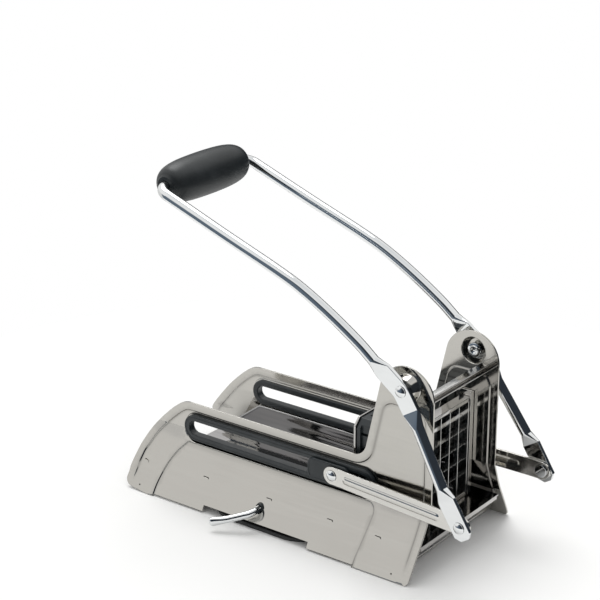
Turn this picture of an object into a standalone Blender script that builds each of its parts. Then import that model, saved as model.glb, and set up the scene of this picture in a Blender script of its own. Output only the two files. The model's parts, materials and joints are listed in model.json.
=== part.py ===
"""French fry cutter with a lever, sliding pusher, lift-out blade cartridge and suction clamp.

The origin lies on the table under the middle of the suction pad. X runs along the body towards
the blades, Y across it, and Z up. The near side of each pair is the one at minus Y.
"""

import math

import bmesh
import bpy
from mathutils import Matrix, Vector

# Gaps between pieces, in metres
seat_gap = 0.0003
weld_distance = 0.00001
union_overlap = 0.0004
cut_margin = 0.004

# Lever pivot and the two link pins, X measured from the pad's middle
pivot_x = 0.1120
pivot_z = 0.1306
lower_pin_ahead = 0.0508
lower_pin_z = 0.0497
slider_pin_ahead = -0.0570
slot_mid_z = 0.0525

# Stamped side walls: half width of the upright part, and how far each lower height stands out from it
wall_flat_y = 0.0412
wall_heights = (0.0, 0.010, 0.020, 0.028, 0.036, 0.044, 0.050)
wall_flares = (0.0246, 0.0194, 0.0138, 0.0092, 0.0052, 0.0020, 0.0)
wall_half_widths = tuple(wall_flat_y + flare for flare in wall_flares)
wall_thick = 0.0013
stamp_step = 0.0010
stamp_lap = 0.0008
border_width = 0.0055
seat_press = 0.0001

# Side outline of a wall, X from the pivot
tower_radius = 0.0214
tower_arc_behind = 0.0010
front_edge_ahead = tower_radius - tower_arc_behind
front_foot_lean = 0.0016
front_foot_ahead = front_edge_ahead - front_foot_lean
front_edge_straight_z = 0.040
foot_radius = 0.004
rear_foot_from_behind = 0.2080
rear_foot_corner = (-0.2317, 0.0025)
rear_foot_radius = 0.0060
rear_edge = (
    (-0.2316, 0.0110), (-0.2309, 0.0190), (-0.2288, 0.0280), (-0.2255, 0.0360),
    (-0.2199, 0.0451), (-0.2135, 0.0526), (-0.2000, 0.0656),
)
wall_top_z = 0.0710
top_corner_behind = 0.1900
top_corner_radius = 0.010
tower_foot_behind = 0.0347
tower_fillet_radius = 0.011
tower_arc_drop = 0.0071
tower_arc_z = pivot_z - tower_arc_drop
tower_lean = math.radians(12.4)
recess_top_drop = 0.0070
recess_top_z = tower_arc_z - recess_top_drop
recess_top_radius = 0.010

# Lower panel, pressed in one step deeper
panel_rear_edge = (
    (-0.2052, 0.0), (-0.2040, 0.0115), (-0.2008, 0.0228), (-0.1952, 0.0330), (-0.1876, 0.0410),
)
panel_top_z = 0.0412
panel_front_ahead = -0.0208
panel_front_foot_ahead = -0.0270
panel_corner_radius = 0.007
panel_foot_z = 0.0015
arch_from_behind = 0.1584
arch_to_behind = 0.0657
arch_z = 0.0036

# Lanced slits that hold the tray, X from the pivot
slit_places = (-0.2198, -0.1642, -0.1068, -0.0541, -0.0138)
slit_z = 0.0221
slit_length = 0.0056
slit_height = 0.0016

# Pressed bosses round the pivot
boss_foot_radius = 0.0098
boss_top_radius = 0.0074
boss_rise = 0.0057
boss_top_y = wall_flat_y + boss_rise
dimple_foot_radius = 0.0084
dimple_top_radius = 0.0062
dimple_sheet = 0.0015
dimple_top_y = boss_top_y - dimple_sheet
pivot_hole_radius = 0.0033

# Slot liners
slot_rear_behind = 0.1917
slot_front_behind = 0.0240
slot_half_height = 0.0100
slot_bar = 0.0047
liner_web = 0.0018
liner_lip = 0.0020
liner_outer_y = wall_flat_y + liner_lip
liner_depth = 0.0063
liner_inner_y = liner_outer_y - liner_depth

# Tray and trough
tray_side_gap = 0.0039
tray_half_width = wall_half_widths[2] - wall_thick - tray_side_gap
tray_thick = 0.0010
tray_rear_behind = 0.2100
tray_lip_drop = 0.0026
tab_length = 0.0030
tray_tab_reach = tray_half_width + tab_length
tab_inset = 0.0001
trough_clearance = 0.0001
trough_inner_y = liner_inner_y + trough_clearance
trough_thick = 0.0008
trough_top_z = 0.0419
trough_rear_top_behind = 0.1855
trough_rear_foot_behind = 0.2080
trough_front_behind = 0.0092
trough_bend_radius = 0.0030

# Cross members
cross_rod_radius = 0.0021
cross_rod_z = 0.0046
cross_rod_front_ahead = 0.0044
cross_rod_rear_behind = 0.2188
cross_rod_inset = 0.0036
cross_rod_half = wall_half_widths[0] - cross_rod_inset
tie_bar_ahead = 0.0099
tie_bar_drop = 0.0097
tie_bar_z = pivot_z - tie_bar_drop
tie_bar_wide = 0.0058
tie_bar_high = 0.0052
tie_bar_sheet = 0.0010
tie_bar_half = wall_flat_y - wall_thick - seat_gap

# Blade cartridge and its guides
guide_sheet = 0.0009
guide_lip_depth = 0.0041
guide_back_y = wall_flat_y - stamp_step - wall_thick - seat_gap
guide_lip_y = guide_back_y - guide_lip_depth
guide_top_z = 0.1014
guide_foot_z = 0.0240
cartridge_rear_behind = 0.0068
cartridge_depth = 0.0080
cartridge_half_width = guide_back_y - guide_sheet - seat_gap
cartridge_side_bar = 0.0032
cartridge_foot_z = 0.0230
cartridge_foot_bar = 0.0031
cartridge_top_bar = 0.0029
cell_count = 6
cell_pitch = 2 * (cartridge_half_width - cartridge_side_bar) / cell_count
blade_thick = 0.0006
blade_layer = 0.0034
blade_layer_gap = 0.0003

# Pusher
plate_behind = 0.0464
plate_thick = 0.0015
plate_side_gap = 0.0007
plate_half_width = liner_inner_y - plate_side_gap
plate_foot_z = 0.0242
plate_top_z = 0.0943
plate_chamfer = 0.0054
plate_foot_chamfer = 0.0016
plate_ear_reach = 0.0240
plate_ear_half_height = 0.0085
block_inset = 0.0010
block_base = 0.0030
block_depth = 0.0216
peg_groove = 0.0018
shoe_rear_behind = 0.0790
shoe_front_behind = 0.0440
shoe_flange_half = 0.0079
shoe_flange_radius = 0.0050
shoe_flange_thick = 0.0017
shoe_web_half = 0.0050
shoe_web_radius = 0.0040

# Links, from the shoes outwards
link_slider_gap = 0.0004
link_thick = 0.0016
link_joggle = 0.0054
link_half_width = 0.0066
link_slider_y = liner_outer_y + seat_gap + shoe_flange_thick + link_slider_gap
link_lever_y = link_slider_y + link_joggle
link_bend_from = 0.0070
link_bend_to = 0.1000
rib_from = 0.0125
rib_to = 0.0880
rib_half_width = 0.0030
rib_proud = 0.0007

# Lever
rod_radius = 0.0040
plate_bar_thick = 0.0030
plate_bar_width = 0.0134
upper_plate_y = boss_top_y + seat_gap
arm_outset = 0.0007
arm_y = upper_plate_y + plate_bar_thick / 2 + arm_outset
arm_route = (
    (-0.0175, 0.0130), (-0.0260, 0.0199), (-0.0342, 0.0261), (-0.0510, 0.0370),
    (-0.0680, 0.0469), (-0.0850, 0.0555), (-0.1025, 0.0625), (-0.1200, 0.0688),
    (-0.1376, 0.0750), (-0.1556, 0.0815), (-0.1737, 0.0882), (-0.2050, 0.0998),
)
bail_corner_radius = 0.0090
upper_plate_rise = 0.0215
upper_plate_drop = 0.0185
lower_plate_y = link_lever_y + link_thick + seat_gap
lower_plate_thick = 0.0028
lower_plate_rise = 0.0235
lower_plate_drop = 0.0088
plate_end_chamfer = 0.0036
plate_neck = 0.0066
lower_rod_y = lower_plate_y + arm_outset
lower_rod_end = 0.0240
grip_profile = (
    (-0.0420, 0.0068), (-0.0408, 0.0082), (-0.0396, 0.0100), (-0.0372, 0.0120), (-0.0330, 0.0136),
    (-0.0260, 0.0148), (-0.0160, 0.0155), (0.0, 0.0158), (0.0160, 0.0155), (0.0260, 0.0148),
    (0.0330, 0.0136), (0.0372, 0.0120), (0.0396, 0.0100), (0.0408, 0.0082), (0.0420, 0.0068),
)
grip_bore_radius = 0.0043

# Rivets
rivet_shank_radius = 0.0028
rivet_clearance = 0.0003
rivet_head_radius = 0.0044
rivet_head_top_radius = 0.0032
rivet_head_thick = 0.0012
rivet_foot_thick = 0.0009
rivet_inner_radius = 0.0046
pivot_inner_head_radius = 0.0052
pivot_inner_head_y = wall_flat_y - wall_thick - seat_gap
pivot_inner_head_thick = 0.0026

# Suction clamp
clamp_x = 0.0
clamp_axis_z = 0.0150
pad_half_length = 0.0457
pad_side_inset = 0.0040
pad_half_width = wall_half_widths[0] - pad_side_inset
pad_corner_radius = 0.022
pad_thick = 0.0030
pad_edge_bevel = 0.0010
housing_half_length = 0.0380
housing_inset = 0.0043
housing_half_width = pad_half_width - housing_inset
housing_thick = 0.0034
housing_corner_radius = 0.006
lug_half_length = 0.0080
lug_places = ((-0.0360, -0.0290), (0.0120, 0.0190))
clamp_rod_radius = 0.0024
bushing_radius = 0.0042
bushing_length = 0.0040
clamp_bore_gap = 0.0003
clamp_shaft_end = 0.0210
clamp_bend_y = wall_half_widths[1] + wall_thick - bushing_length
clamp_bend = (
    (0.0, 0.0, 0.0), (-0.0003, 0.0035, -0.0003), (-0.0012, 0.0066, -0.0010),
    (-0.0030, 0.0090, -0.0020), (-0.0066, 0.0113, -0.0031), (-0.0228, 0.0225, -0.0079),
)
paddle_length = 0.0130
paddle_half_width = 0.0028
paddle_setback = paddle_length - 2 * paddle_half_width
paddle_thick = 0.0046
cam_radius = 0.0050
cam_offset = 0.0009
cam_half_length = 0.0040
stem_radius = 0.0050
stem_top_z = 0.0088

# Fineness of round shapes
round_steps = 24
small_round_steps = 16
hole_steps = 12
corner_steps = 5
rod_resolution = 4


def ahead(distance):
    """World X of a place measured from the pivot, positive towards the blades."""
    return pivot_x + distance


def outer_y(height, depth=0.0):
    """Half width of the wall's outer face at a height, pressed in by a depth."""
    heights = wall_heights
    widths = wall_half_widths
    if height >= heights[-1]:
        return widths[-1] - depth
    for low, high, wide, narrow in zip(heights, heights[1:], widths, widths[1:]):
        if height <= high:
            share = (height - low) / (high - low)
            return wide + (narrow - wide) * share - depth
    return widths[-1] - depth


# Outlines


def arc(centre, radius, start, end, steps):
    """Points on an arc from one angle to another, both ends included."""
    points = []
    for step in range(steps + 1):
        angle = start + (end - start) * step / steps
        points.append((centre[0] + radius * math.cos(angle), centre[1] + radius * math.sin(angle)))
    return points


def rounded(points, radii, steps=corner_steps, closed=True):
    """An outline with each corner replaced by a tangent arc."""
    result = []
    count = len(points)
    for index in range(count):
        radius = radii[index] if isinstance(radii, (tuple, list)) else radii
        corner = Vector(points[index])
        if radius <= 0.0 or (not closed and index in (0, count - 1)):
            result.append(tuple(corner))
            continue
        before = (Vector(points[index - 1]) - corner).normalized()
        after = (Vector(points[(index + 1) % count]) - corner).normalized()
        half = before.angle(after) / 2
        reach = radius / math.tan(half)
        centre = corner + (before + after).normalized() * (radius / math.sin(half))
        start = corner + before * reach - centre
        end = corner + after * reach - centre
        sweep = start.angle(end)
        turn = 1.0 if start.x * end.y - start.y * end.x > 0.0 else -1.0
        first = math.atan2(start.y, start.x)
        result.extend(arc(centre, radius, first, first + turn * sweep, steps))
    return result


def curve_through(points, steps):
    """A smooth open line through the points, by Catmull and Rom's rule."""
    padded = [Vector(points[0])] + [Vector(p) for p in points] + [Vector(points[-1])]
    result = []
    for index in range(len(points) - 1):
        a, b, c, d = padded[index:index + 4]
        for step in range(steps):
            t = step / steps
            value = 2 * b + (c - a) * t + (2 * a - 5 * b + 4 * c - d) * t * t
            value = value + (3 * b - a - 3 * c + d) * t * t * t
            result.append(tuple(value / 2))
    result.append(tuple(points[-1]))
    return result


def shifted(points, distance):
    """An open line moved sideways, to the right of its direction for a positive distance."""
    result = []
    for index, point in enumerate(points):
        here = Vector(point)
        back = (here - Vector(points[index - 1])).normalized() if index > 0 else None
        onward = (Vector(points[index + 1]) - here).normalized() if index < len(points) - 1 else None
        back = back or onward
        onward = onward or back
        mean = (back + onward).normalized()
        normal = Vector((mean.y, -mean.x))
        stretch = max(0.5, mean.dot(onward))
        result.append(tuple(here + normal * (distance / stretch)))
    return result


def stadium(start, end, half_width, steps=10):
    """A slot outline with round ends between two centres."""
    run = Vector(end) - Vector(start)
    heading = math.atan2(run.y, run.x)
    quarter = math.pi / 2
    points = arc(end, half_width, heading - quarter, heading + quarter, steps)
    points.extend(arc(start, half_width, heading + quarter, heading + 3 * quarter, steps))
    return points


def circle(centre, radius, steps=round_steps):
    """A round outline."""
    return arc(centre, radius, 0.0, 2 * math.pi * (steps - 1) / steps, steps - 1)


def rectangle(low_u, high_u, low_v, high_v):
    """A rectangular outline."""
    return [(low_u, low_v), (high_u, low_v), (high_u, high_v), (low_u, high_v)]


# Objects


def collection(name):
    """A new collection linked to the scene."""
    made = bpy.data.collections.new(name)
    bpy.context.scene.collection.children.link(made)
    return made


def material(name, colour, roughness, metallic):
    """A Principled material."""
    made = bpy.data.materials.new(name)
    made.use_nodes = True
    shader = made.node_tree.nodes["Principled BSDF"]
    shader.inputs["Base Color"].default_value = (*colour, 1.0)
    shader.inputs["Roughness"].default_value = roughness
    shader.inputs["Metallic"].default_value = metallic
    return made


def steel(name):
    """Satin stainless sheet."""
    return material(name + "_steel", (0.56, 0.54, 0.51), 0.28, 1.0)


def polished(name):
    """Polished stainless sheet."""
    return material(name + "_polished", (0.60, 0.59, 0.57), 0.14, 1.0)


def chrome(name):
    """Bright chrome plating."""
    return material(name + "_chrome", (0.78, 0.79, 0.80), 0.06, 1.0)


def black_plastic(name):
    """Blue-black moulded plastic."""
    return material(name + "_plastic", (0.028, 0.036, 0.040), 0.42, 0.0)


def rubber(name):
    """Black rubber."""
    return material(name + "_rubber", (0.016, 0.018, 0.019), 0.62, 0.0)


def empty(name, place, parent=None):
    """An empty at a world place, used as a joint's axis."""
    made = bpy.data.objects.new(name, None)
    made.empty_display_size = rod_radius
    parts.objects.link(made)
    attach(made, place, parent)
    return made


def attach(piece, place, parent):
    """Give an object a world place under an unrotated parent."""
    offset = Vector(place)
    if parent is not None:
        piece.parent = parent
        offset = offset - world_place(parent)
    piece.location = offset


def world_place(item):
    """World location of an unrotated object and its parents."""
    place = Vector(item.location)
    while item.parent is not None:
        item = item.parent
        place = place + Vector(item.location)
    return place


axis_turns = {"X": (math.pi / 2, 0.0, math.pi / 2), "Y": (math.pi / 2, 0.0, 0.0), "Z": (0.0, 0.0, 0.0)}


def extruded_mesh(name, outlines, low, high):
    """Mesh of flat outlines, holes included, extruded from low to high along local Z."""
    curve = bpy.data.curves.new(name, "CURVE")
    curve.dimensions = "2D"
    curve.fill_mode = "BOTH"
    curve.extrude = (high - low) / 2
    for points in outlines:
        spline = curve.splines.new("POLY")
        spline.points.add(len(points) - 1)
        for target, point in zip(spline.points, points):
            target.co = (point[0], point[1], 0.0, 1.0)
        spline.use_cyclic_u = True
    holder = bpy.data.objects.new(name, curve)
    bpy.context.scene.collection.objects.link(holder)
    mesh = welded_mesh(holder, name)
    mesh.transform(Matrix.Translation((0.0, 0.0, (low + high) / 2)))
    return mesh


def welded_mesh(holder, name):
    """Evaluated mesh of a curve object with its caps welded; the curve is removed."""
    graph = bpy.context.evaluated_depsgraph_get()
    graph.update()
    mesh = bpy.data.meshes.new_from_object(holder.evaluated_get(graph))
    mesh.name = name
    curve = holder.data
    bpy.data.objects.remove(holder)
    bpy.data.curves.remove(curve)
    work = bmesh.new()
    work.from_mesh(mesh)
    bmesh.ops.remove_doubles(work, verts=work.verts, dist=weld_distance)
    bmesh.ops.dissolve_degenerate(work, edges=work.edges, dist=weld_distance)
    bmesh.ops.recalc_face_normals(work, faces=work.faces)
    work.to_mesh(mesh)
    work.free()
    return mesh


def baked(mesh, axis):
    """Turn a mesh made along local Z to lie along a world axis."""
    x, y, z = axis_turns[axis]
    turn = Matrix.Rotation(z, 4, "Z") @ Matrix.Rotation(y, 4, "Y") @ Matrix.Rotation(x, 4, "X")
    mesh.transform(turn)
    return mesh


def extrusion(name, outlines, low, high, axis):
    """World-space mesh extruded between two coordinates of an axis.

    Outlines are in (Y, Z) for the X axis, (X, Z) for the Y axis and (X, Y) for the Z axis.
    """
    if axis == "Y":
        return baked(extruded_mesh(name, outlines, -high, -low), axis)
    return baked(extruded_mesh(name, outlines, low, high), axis)


def piece(name, mesh, finish, parent=None, place=(0.0, 0.0, 0.0)):
    """A part from a world-space mesh, with its origin moved to a place."""
    mesh.transform(Matrix.Translation(-Vector(place)))
    made = bpy.data.objects.new(name, mesh)
    parts.objects.link(made)
    attach(made, place, parent)
    mesh.materials.clear()
    mesh.materials.append(finish)
    return made


def cutter(name, mesh):
    """A hidden shape for Booleans."""
    made = bpy.data.objects.new(name, mesh)
    made.hide_render = True
    made.display_type = "WIRE"
    cutters.objects.link(made)
    return made


def boolean(item, tool, operation):
    """Add an exact Boolean modifier."""
    made = item.modifiers.new(tool.name, "BOOLEAN")
    made.solver = "EXACT"
    made.operation = operation
    made.object = tool
    return made


def round_bar(name, start, end, radius, end_radius=None, steps=round_steps):
    """World-space cylinder or cone between two points."""
    start = Vector(start)
    run = Vector(end) - start
    work = bmesh.new()
    bmesh.ops.create_cone(
        work, cap_ends=True, segments=steps, radius1=radius,
        radius2=radius if end_radius is None else end_radius, depth=run.length,
    )
    turn = run.to_track_quat("Z", "Y").to_matrix().to_4x4()
    turn.translation = start + run / 2
    bmesh.ops.transform(work, matrix=turn, verts=work.verts)
    mesh = bpy.data.meshes.new(name)
    work.to_mesh(mesh)
    work.free()
    return mesh


def box(name, low, high):
    """World-space box between two corners."""
    work = bmesh.new()
    bmesh.ops.create_cube(work, size=1.0)
    low = Vector(low)
    size = Vector(high) - low
    bmesh.ops.scale(work, vec=size, verts=work.verts)
    bmesh.ops.translate(work, vec=low + size / 2, verts=work.verts)
    mesh = bpy.data.meshes.new(name)
    work.to_mesh(mesh)
    work.free()
    return mesh


def joined(name, meshes):
    """One mesh of several that don't touch."""
    work = bmesh.new()
    for mesh in meshes:
        work.from_mesh(mesh)
    made = bpy.data.meshes.new(name)
    work.to_mesh(made)
    work.free()
    return made


def tube(name, points, radius):
    """World-space mesh of a round rod along a route, with filled ends."""
    curve = bpy.data.curves.new(name, "CURVE")
    curve.dimensions = "3D"
    curve.bevel_depth = radius
    curve.bevel_resolution = rod_resolution
    curve.use_fill_caps = True
    spline = curve.splines.new("POLY")
    spline.points.add(len(points) - 1)
    for target, point in zip(spline.points, points):
        target.co = (*point, 1.0)
    holder = bpy.data.objects.new(name, curve)
    bpy.context.scene.collection.objects.link(holder)
    return welded_mesh(holder, name)


def turned(name, profile, axis_place, finish, parent):
    """A piece turned about the Y axis from (Y, radius) points, top of the outer side first."""
    mesh = bpy.data.meshes.new(name)
    work = bmesh.new()
    rings = [work.verts.new((radius, 0.0, -along)) for along, radius in profile]
    for first, second in zip(rings, rings[1:] + rings[:1]):
        work.edges.new((first, second))
    work.to_mesh(mesh)
    work.free()
    made = bpy.data.objects.new(name, mesh)
    parts.objects.link(made)
    attach(made, axis_place, parent)
    made.rotation_euler = (math.pi / 2, 0.0, 0.0)
    screw = made.modifiers.new("turn", "SCREW")
    screw.axis = "Z"
    screw.steps = round_steps
    screw.render_steps = round_steps
    screw.use_merge_vertices = True
    screw.merge_threshold = weld_distance
    mesh.materials.append(finish)
    return made


def mirrored_mesh(mesh, name):
    """Copy of a world-space mesh mirrored across the middle of the body."""
    work = bmesh.new()
    work.from_mesh(mesh)
    bmesh.ops.scale(work, vec=(1.0, -1.0, 1.0), verts=work.verts)
    bmesh.ops.reverse_faces(work, faces=work.faces)
    made = bpy.data.meshes.new(name)
    work.to_mesh(made)
    work.free()
    return made


def pair(name, near_mesh, finish, parent=None, place=(0.0, 0.0, 0.0)):
    """The near and far copies of a piece drawn on the near side."""
    far_mesh = mirrored_mesh(near_mesh, name + "_far")
    far_place = (place[0], -place[1], place[2])
    near = piece(name + "_near", near_mesh, finish(name + "_near"), parent, place)
    far = piece(name + "_far", far_mesh, finish(name + "_far"), parent, far_place)
    return near, far


# Side walls


def rear_to_tower_line():
    """The wall's edge from the rear foot over the top and up the tower's rear edge."""
    rear = curve_through((rear_foot_corner,) + rear_edge, 2)
    corner = rounded(
        [rear[-1], (-top_corner_behind, wall_top_z), (-tower_foot_behind, wall_top_z)],
        top_corner_radius, 4, closed=False,
    )
    lean_x = -tower_arc_behind - tower_radius * math.cos(tower_lean)
    lean_z = tower_arc_z + tower_radius * math.sin(tower_lean)
    fillet = rounded(
        [corner[-2], (-tower_foot_behind, wall_top_z), (lean_x, lean_z)],
        tower_fillet_radius, 6, closed=False,
    )
    return rear[:-1] + corner[:-1] + fillet[1:]


def wall_outline():
    """Closed side outline of a wall, X from the pivot."""
    rear_foot = rounded(
        [(-rear_foot_from_behind, 0.0), rear_foot_corner, rear_edge[0]], rear_foot_radius, 4, closed=False,
    )
    line = rear_foot[:-1] + rear_to_tower_line()[2:]
    dome = arc((-tower_arc_behind, tower_arc_z), tower_radius, math.pi - tower_lean, 0.0, 12)
    front = [(front_edge_ahead, front_edge_straight_z)]
    foot = rounded(
        [front[0], (front_foot_ahead, 0.0), rear_foot[0]], foot_radius, 4, closed=False,
    )
    return line + dome[1:] + front + foot[1:-1]


def recess_outline(spread):
    """Outline of the main pressed area, grown by a spread."""
    line = [point for point in shifted(rear_to_tower_line(), border_width - spread)]
    top = recess_top_z + spread
    low, high = line[-2], line[-1]
    share = (top - low[1]) / (high[1] - low[1])
    line[-1] = (low[0] + (high[0] - low[0]) * share, top)
    line[0] = (line[0][0], -cut_margin)
    front = front_edge_ahead - border_width + spread
    front_foot = front_foot_ahead - border_width + spread
    radii = [0.0] * len(line) + [recess_top_radius, 0.0, 0.0]
    radii[len(line) - 1] = recess_top_radius
    points = line + [(front, top), (front, front_edge_straight_z), (front_foot, -cut_margin)]
    return rounded(points, radii, 4)


def panel_outline(spread):
    """Outline of the lower panel, grown by a spread."""
    rear = shifted(curve_through(panel_rear_edge, 2), -spread)
    rear[0] = (rear[0][0], -cut_margin)
    top = panel_top_z + spread
    rear[-1] = (rear[-1][0], top)
    front = panel_front_ahead + spread
    foot = panel_front_foot_ahead + spread
    points = rear + [(front, top), (foot, -cut_margin)]
    radii = [0.0] * (len(rear) - 1) + [panel_corner_radius / 2, panel_corner_radius, 0.0]
    return rounded(points, radii, 4)


def placed(points):
    """World X for points measured from the pivot."""
    return [(ahead(point[0]), point[1]) for point in points]


def sheet_profile(depth):
    """Section of the near wall's sheet in (Y, Z), pressed in by a depth."""
    top = pivot_z + tower_radius
    outer = [(-outer_y(height, depth), height) for height in wall_heights]
    outer.append((-outer_y(top, depth), top))
    inner = [(y + wall_thick, z) for y, z in outer]
    return outer + inner[::-1]


def sheet(name, depth):
    """The near wall's full-length sheet at one pressing depth."""
    low = ahead(rear_foot_corner[0]) - cut_margin
    high = ahead(front_edge_ahead) + cut_margin
    return extrusion(name, [sheet_profile(depth)], low, high, "X")


def side_cutter(name, outline, half_width=None):
    """A hidden prism across the whole body with a side outline."""
    reach = wall_half_widths[0] + cut_margin if half_width is None else half_width
    return cutter(name, extrusion(name, [outline], -reach, reach, "Y"))


def wall_cutters():
    """Shapes that cut both walls."""
    slot_centres = slot_ends(slot_bar - liner_web - seat_gap)
    tools = {
        "outline": side_cutter("wall_outline_cut", placed(wall_outline())),
        "recess": side_cutter("recess_cut", placed(recess_outline(0.0))),
        "recess_lap": side_cutter("recess_lap_cut", placed(recess_outline(stamp_lap))),
        "panel": side_cutter("panel_cut", placed(panel_outline(0.0))),
        "panel_lap": side_cutter("panel_lap_cut", placed(panel_outline(stamp_lap))),
        "slot": side_cutter("slot_cut", slot_centres),
        "pivot": side_cutter("pivot_hole_cut", circle((ahead(0.0), pivot_z), pivot_hole_radius)),
    }
    foot_line = [
        (ahead(panel_rear_edge[0][0]), -cut_margin), (ahead(panel_front_foot_ahead), -cut_margin),
        (ahead(panel_front_foot_ahead), panel_foot_z), (ahead(-arch_to_behind), panel_foot_z),
        (ahead(-arch_to_behind), arch_z), (ahead(-arch_from_behind), arch_z),
        (ahead(-arch_from_behind), panel_foot_z), (ahead(panel_rear_edge[0][0]), panel_foot_z),
    ]
    tools["foot"] = side_cutter("foot_cut", foot_line)
    rod_radius_cut = cross_rod_radius + seat_gap
    rod_places = (cross_rod_front_ahead, -cross_rod_rear_behind)
    rods = [
        round_bar("rod", (ahead(x), -pad_half_width - cut_margin * 2, cross_rod_z),
                  (ahead(x), pad_half_width + cut_margin * 2, cross_rod_z), rod_radius_cut, steps=hole_steps)
        for x in rod_places
    ]
    tools["rods"] = cutter("cross_rod_cut", joined("cross_rod_cut", rods))
    reach = wall_half_widths[0]
    slits = [
        box("slit", (ahead(x) - slit_length / 2, -reach, slit_z - slit_height / 2),
            (ahead(x) + slit_length / 2, reach, slit_z + slit_height / 2))
        for x in slit_places
    ]
    tools["slits"] = cutter("slit_cut", joined("slit_cut", slits))
    return tools


def wall_layer(name, depth, tools, keep, drop):
    """A hidden layer of the near wall at one pressing depth."""
    layer = cutter(name, sheet(name, depth))
    boolean(layer, tools[keep], "INTERSECT")
    if drop is not None:
        boolean(layer, tools[drop], "DIFFERENCE")
    return layer


def slot_seat():
    """Flat pan pressed round the slot, and the hollow its outer side leaves."""
    level = stamp_step + seat_press
    heights = [z for z in wall_heights if z > slot_mid_z - 2 * slot_half_height]
    heights.append(slot_mid_z + 2 * slot_half_height)
    outer = [(-outer_y(z, level), z) for z in heights]
    inner_y = -seat_face_y() + wall_thick
    section = outer + [(inner_y, heights[-1]), (inner_y, heights[0])]
    low, high = ahead(-slot_rear_behind) - cut_margin, ahead(-slot_front_behind) + cut_margin
    pan = cutter("seat_shape", extrusion("seat_shape", [section], low, high, "X"))
    rim = side_cutter("seat_rim", slot_ends(-wall_thick - seat_gap))
    boolean(pan, rim, "INTERSECT")
    hollow = cutter("seat_hollow", extrusion(
        "seat_hollow", [slot_ends(-seat_gap)], -wall_half_widths[0], -seat_face_y(), "Y",
    ))
    return pan, hollow


def seat_face_y():
    """Half width of the flat seat's outer face."""
    return wall_half_widths[-1] - stamp_step - seat_press


def side_walls():
    """Both stamped walls, with their towers, pressed areas, slots and pivot bosses."""
    tools = wall_cutters()
    pan, hollow = slot_seat()
    main = wall_layer("wall_main_layer", stamp_step, tools, "recess_lap", "panel")
    panel = wall_layer("wall_panel_layer", 2 * stamp_step, tools, "panel_lap", None)
    pivot = (ahead(0.0), pivot_z)
    wall_y = wall_half_widths[-1]
    boss = cutter("boss_shape", round_bar(
        "boss_shape", (pivot[0], -wall_y + wall_thick / 2, pivot[1]), (pivot[0], -boss_top_y, pivot[1]),
        boss_foot_radius, boss_top_radius,
    ))
    dimple_slope = (dimple_foot_radius - dimple_top_radius) / (dimple_top_y - wall_y + wall_thick)
    dimple = cutter("dimple_shape", round_bar(
        "dimple_shape", (pivot[0], -wall_y + wall_thick + cut_margin / 2, pivot[1]),
        (pivot[0], -dimple_top_y, pivot[1]),
        dimple_foot_radius + dimple_slope * cut_margin / 2, dimple_top_radius,
    ))
    wall = cutter("wall_shape", sheet("wall_shape", 0.0))
    boolean(wall, tools["outline"], "INTERSECT")
    boolean(wall, tools["recess"], "DIFFERENCE")
    boolean(wall, main, "UNION")
    boolean(wall, panel, "UNION")
    boolean(wall, pan, "UNION")
    boolean(wall, hollow, "DIFFERENCE")
    boolean(wall, boss, "UNION")
    boolean(wall, dimple, "DIFFERENCE")
    for key in ("foot", "slot", "pivot", "rods", "slits"):
        boolean(wall, tools[key], "DIFFERENCE")
    graph = bpy.context.evaluated_depsgraph_get()
    graph.update()
    mesh = bpy.data.meshes.new_from_object(wall.evaluated_get(graph))
    mesh.name = "side_wall_near"
    near = pair("side_wall", mesh, steel)[0]
    shaft = cutter("clamp_hole_cut", round_bar(
        "clamp_hole_cut", (clamp_x, -pad_half_width - cut_margin, clamp_axis_z),
        (clamp_x, -housing_half_width / 2, clamp_axis_z), bushing_radius + seat_gap,
    ))
    boolean(near, shaft, "DIFFERENCE")


def slot_ends(inset):
    """Slot outline shrunk by an inset from the liner's outer edge."""
    start = (ahead(-slot_rear_behind + slot_half_height), slot_mid_z)
    end = (ahead(-slot_front_behind - slot_half_height), slot_mid_z)
    return stadium(start, end, slot_half_height - inset, 8)


def slot_liners():
    """Black liners: a lip outside, a lip inside and a web through the wall's slot."""
    face = seat_face_y()
    hole = slot_ends(slot_bar)
    outer = extrusion("liner_outer", [slot_ends(0.0), hole], -liner_outer_y, -face - seat_gap, "Y")
    inner_y = -face + wall_thick + seat_gap
    web = extrusion("liner_web", [slot_ends(slot_bar - liner_web), hole],
                    -face - seat_gap * 2, inner_y + seat_gap, "Y")
    inner = extrusion("liner_inner", [slot_ends(0.0), hole], inner_y, -liner_inner_y, "Y")
    near, far = pair("slot_guide", outer, black_plastic)
    for made, side in ((near, 1.0), (far, -1.0)):
        for source in (web, inner):
            mesh = source.copy() if side > 0.0 else mirrored_mesh(source, source.name)
            boolean(made, cutter(made.name + "_" + source.name, mesh), "UNION")


# Tray, trough and cross members


def floor_tray():
    """Flat tray with tabs in the walls' slits and a turned-down front lip."""
    foot = slit_z - tray_thick / 2
    top = foot + tray_thick
    rear = ahead(-tray_rear_behind)
    front = ahead(front_foot_ahead - seat_gap)
    half = tray_half_width
    sheet_mesh = box("floor_tray", (rear, -half, foot), (front, half, top))
    tray = piece("floor_tray", sheet_mesh, polished("floor_tray"))
    lip_half = half - tray_thick
    lip_front = front - tray_thick / 2
    folds = [box("lip", (lip_front - tray_thick, -lip_half, foot - tray_lip_drop),
                 (lip_front, lip_half, slit_z))]
    tab_half = slit_length / 2 - seat_gap
    for x in slit_places:
        if x > -tray_rear_behind:
            folds.append(box("tab", (ahead(x) - tab_half, -tray_tab_reach, foot + tab_inset),
                             (ahead(x) + tab_half, tray_tab_reach, top - tab_inset)))
    for index, fold in enumerate(folds):
        boolean(tray, cutter(f"tray_fold_{index + 1}", fold), "UNION")


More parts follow.
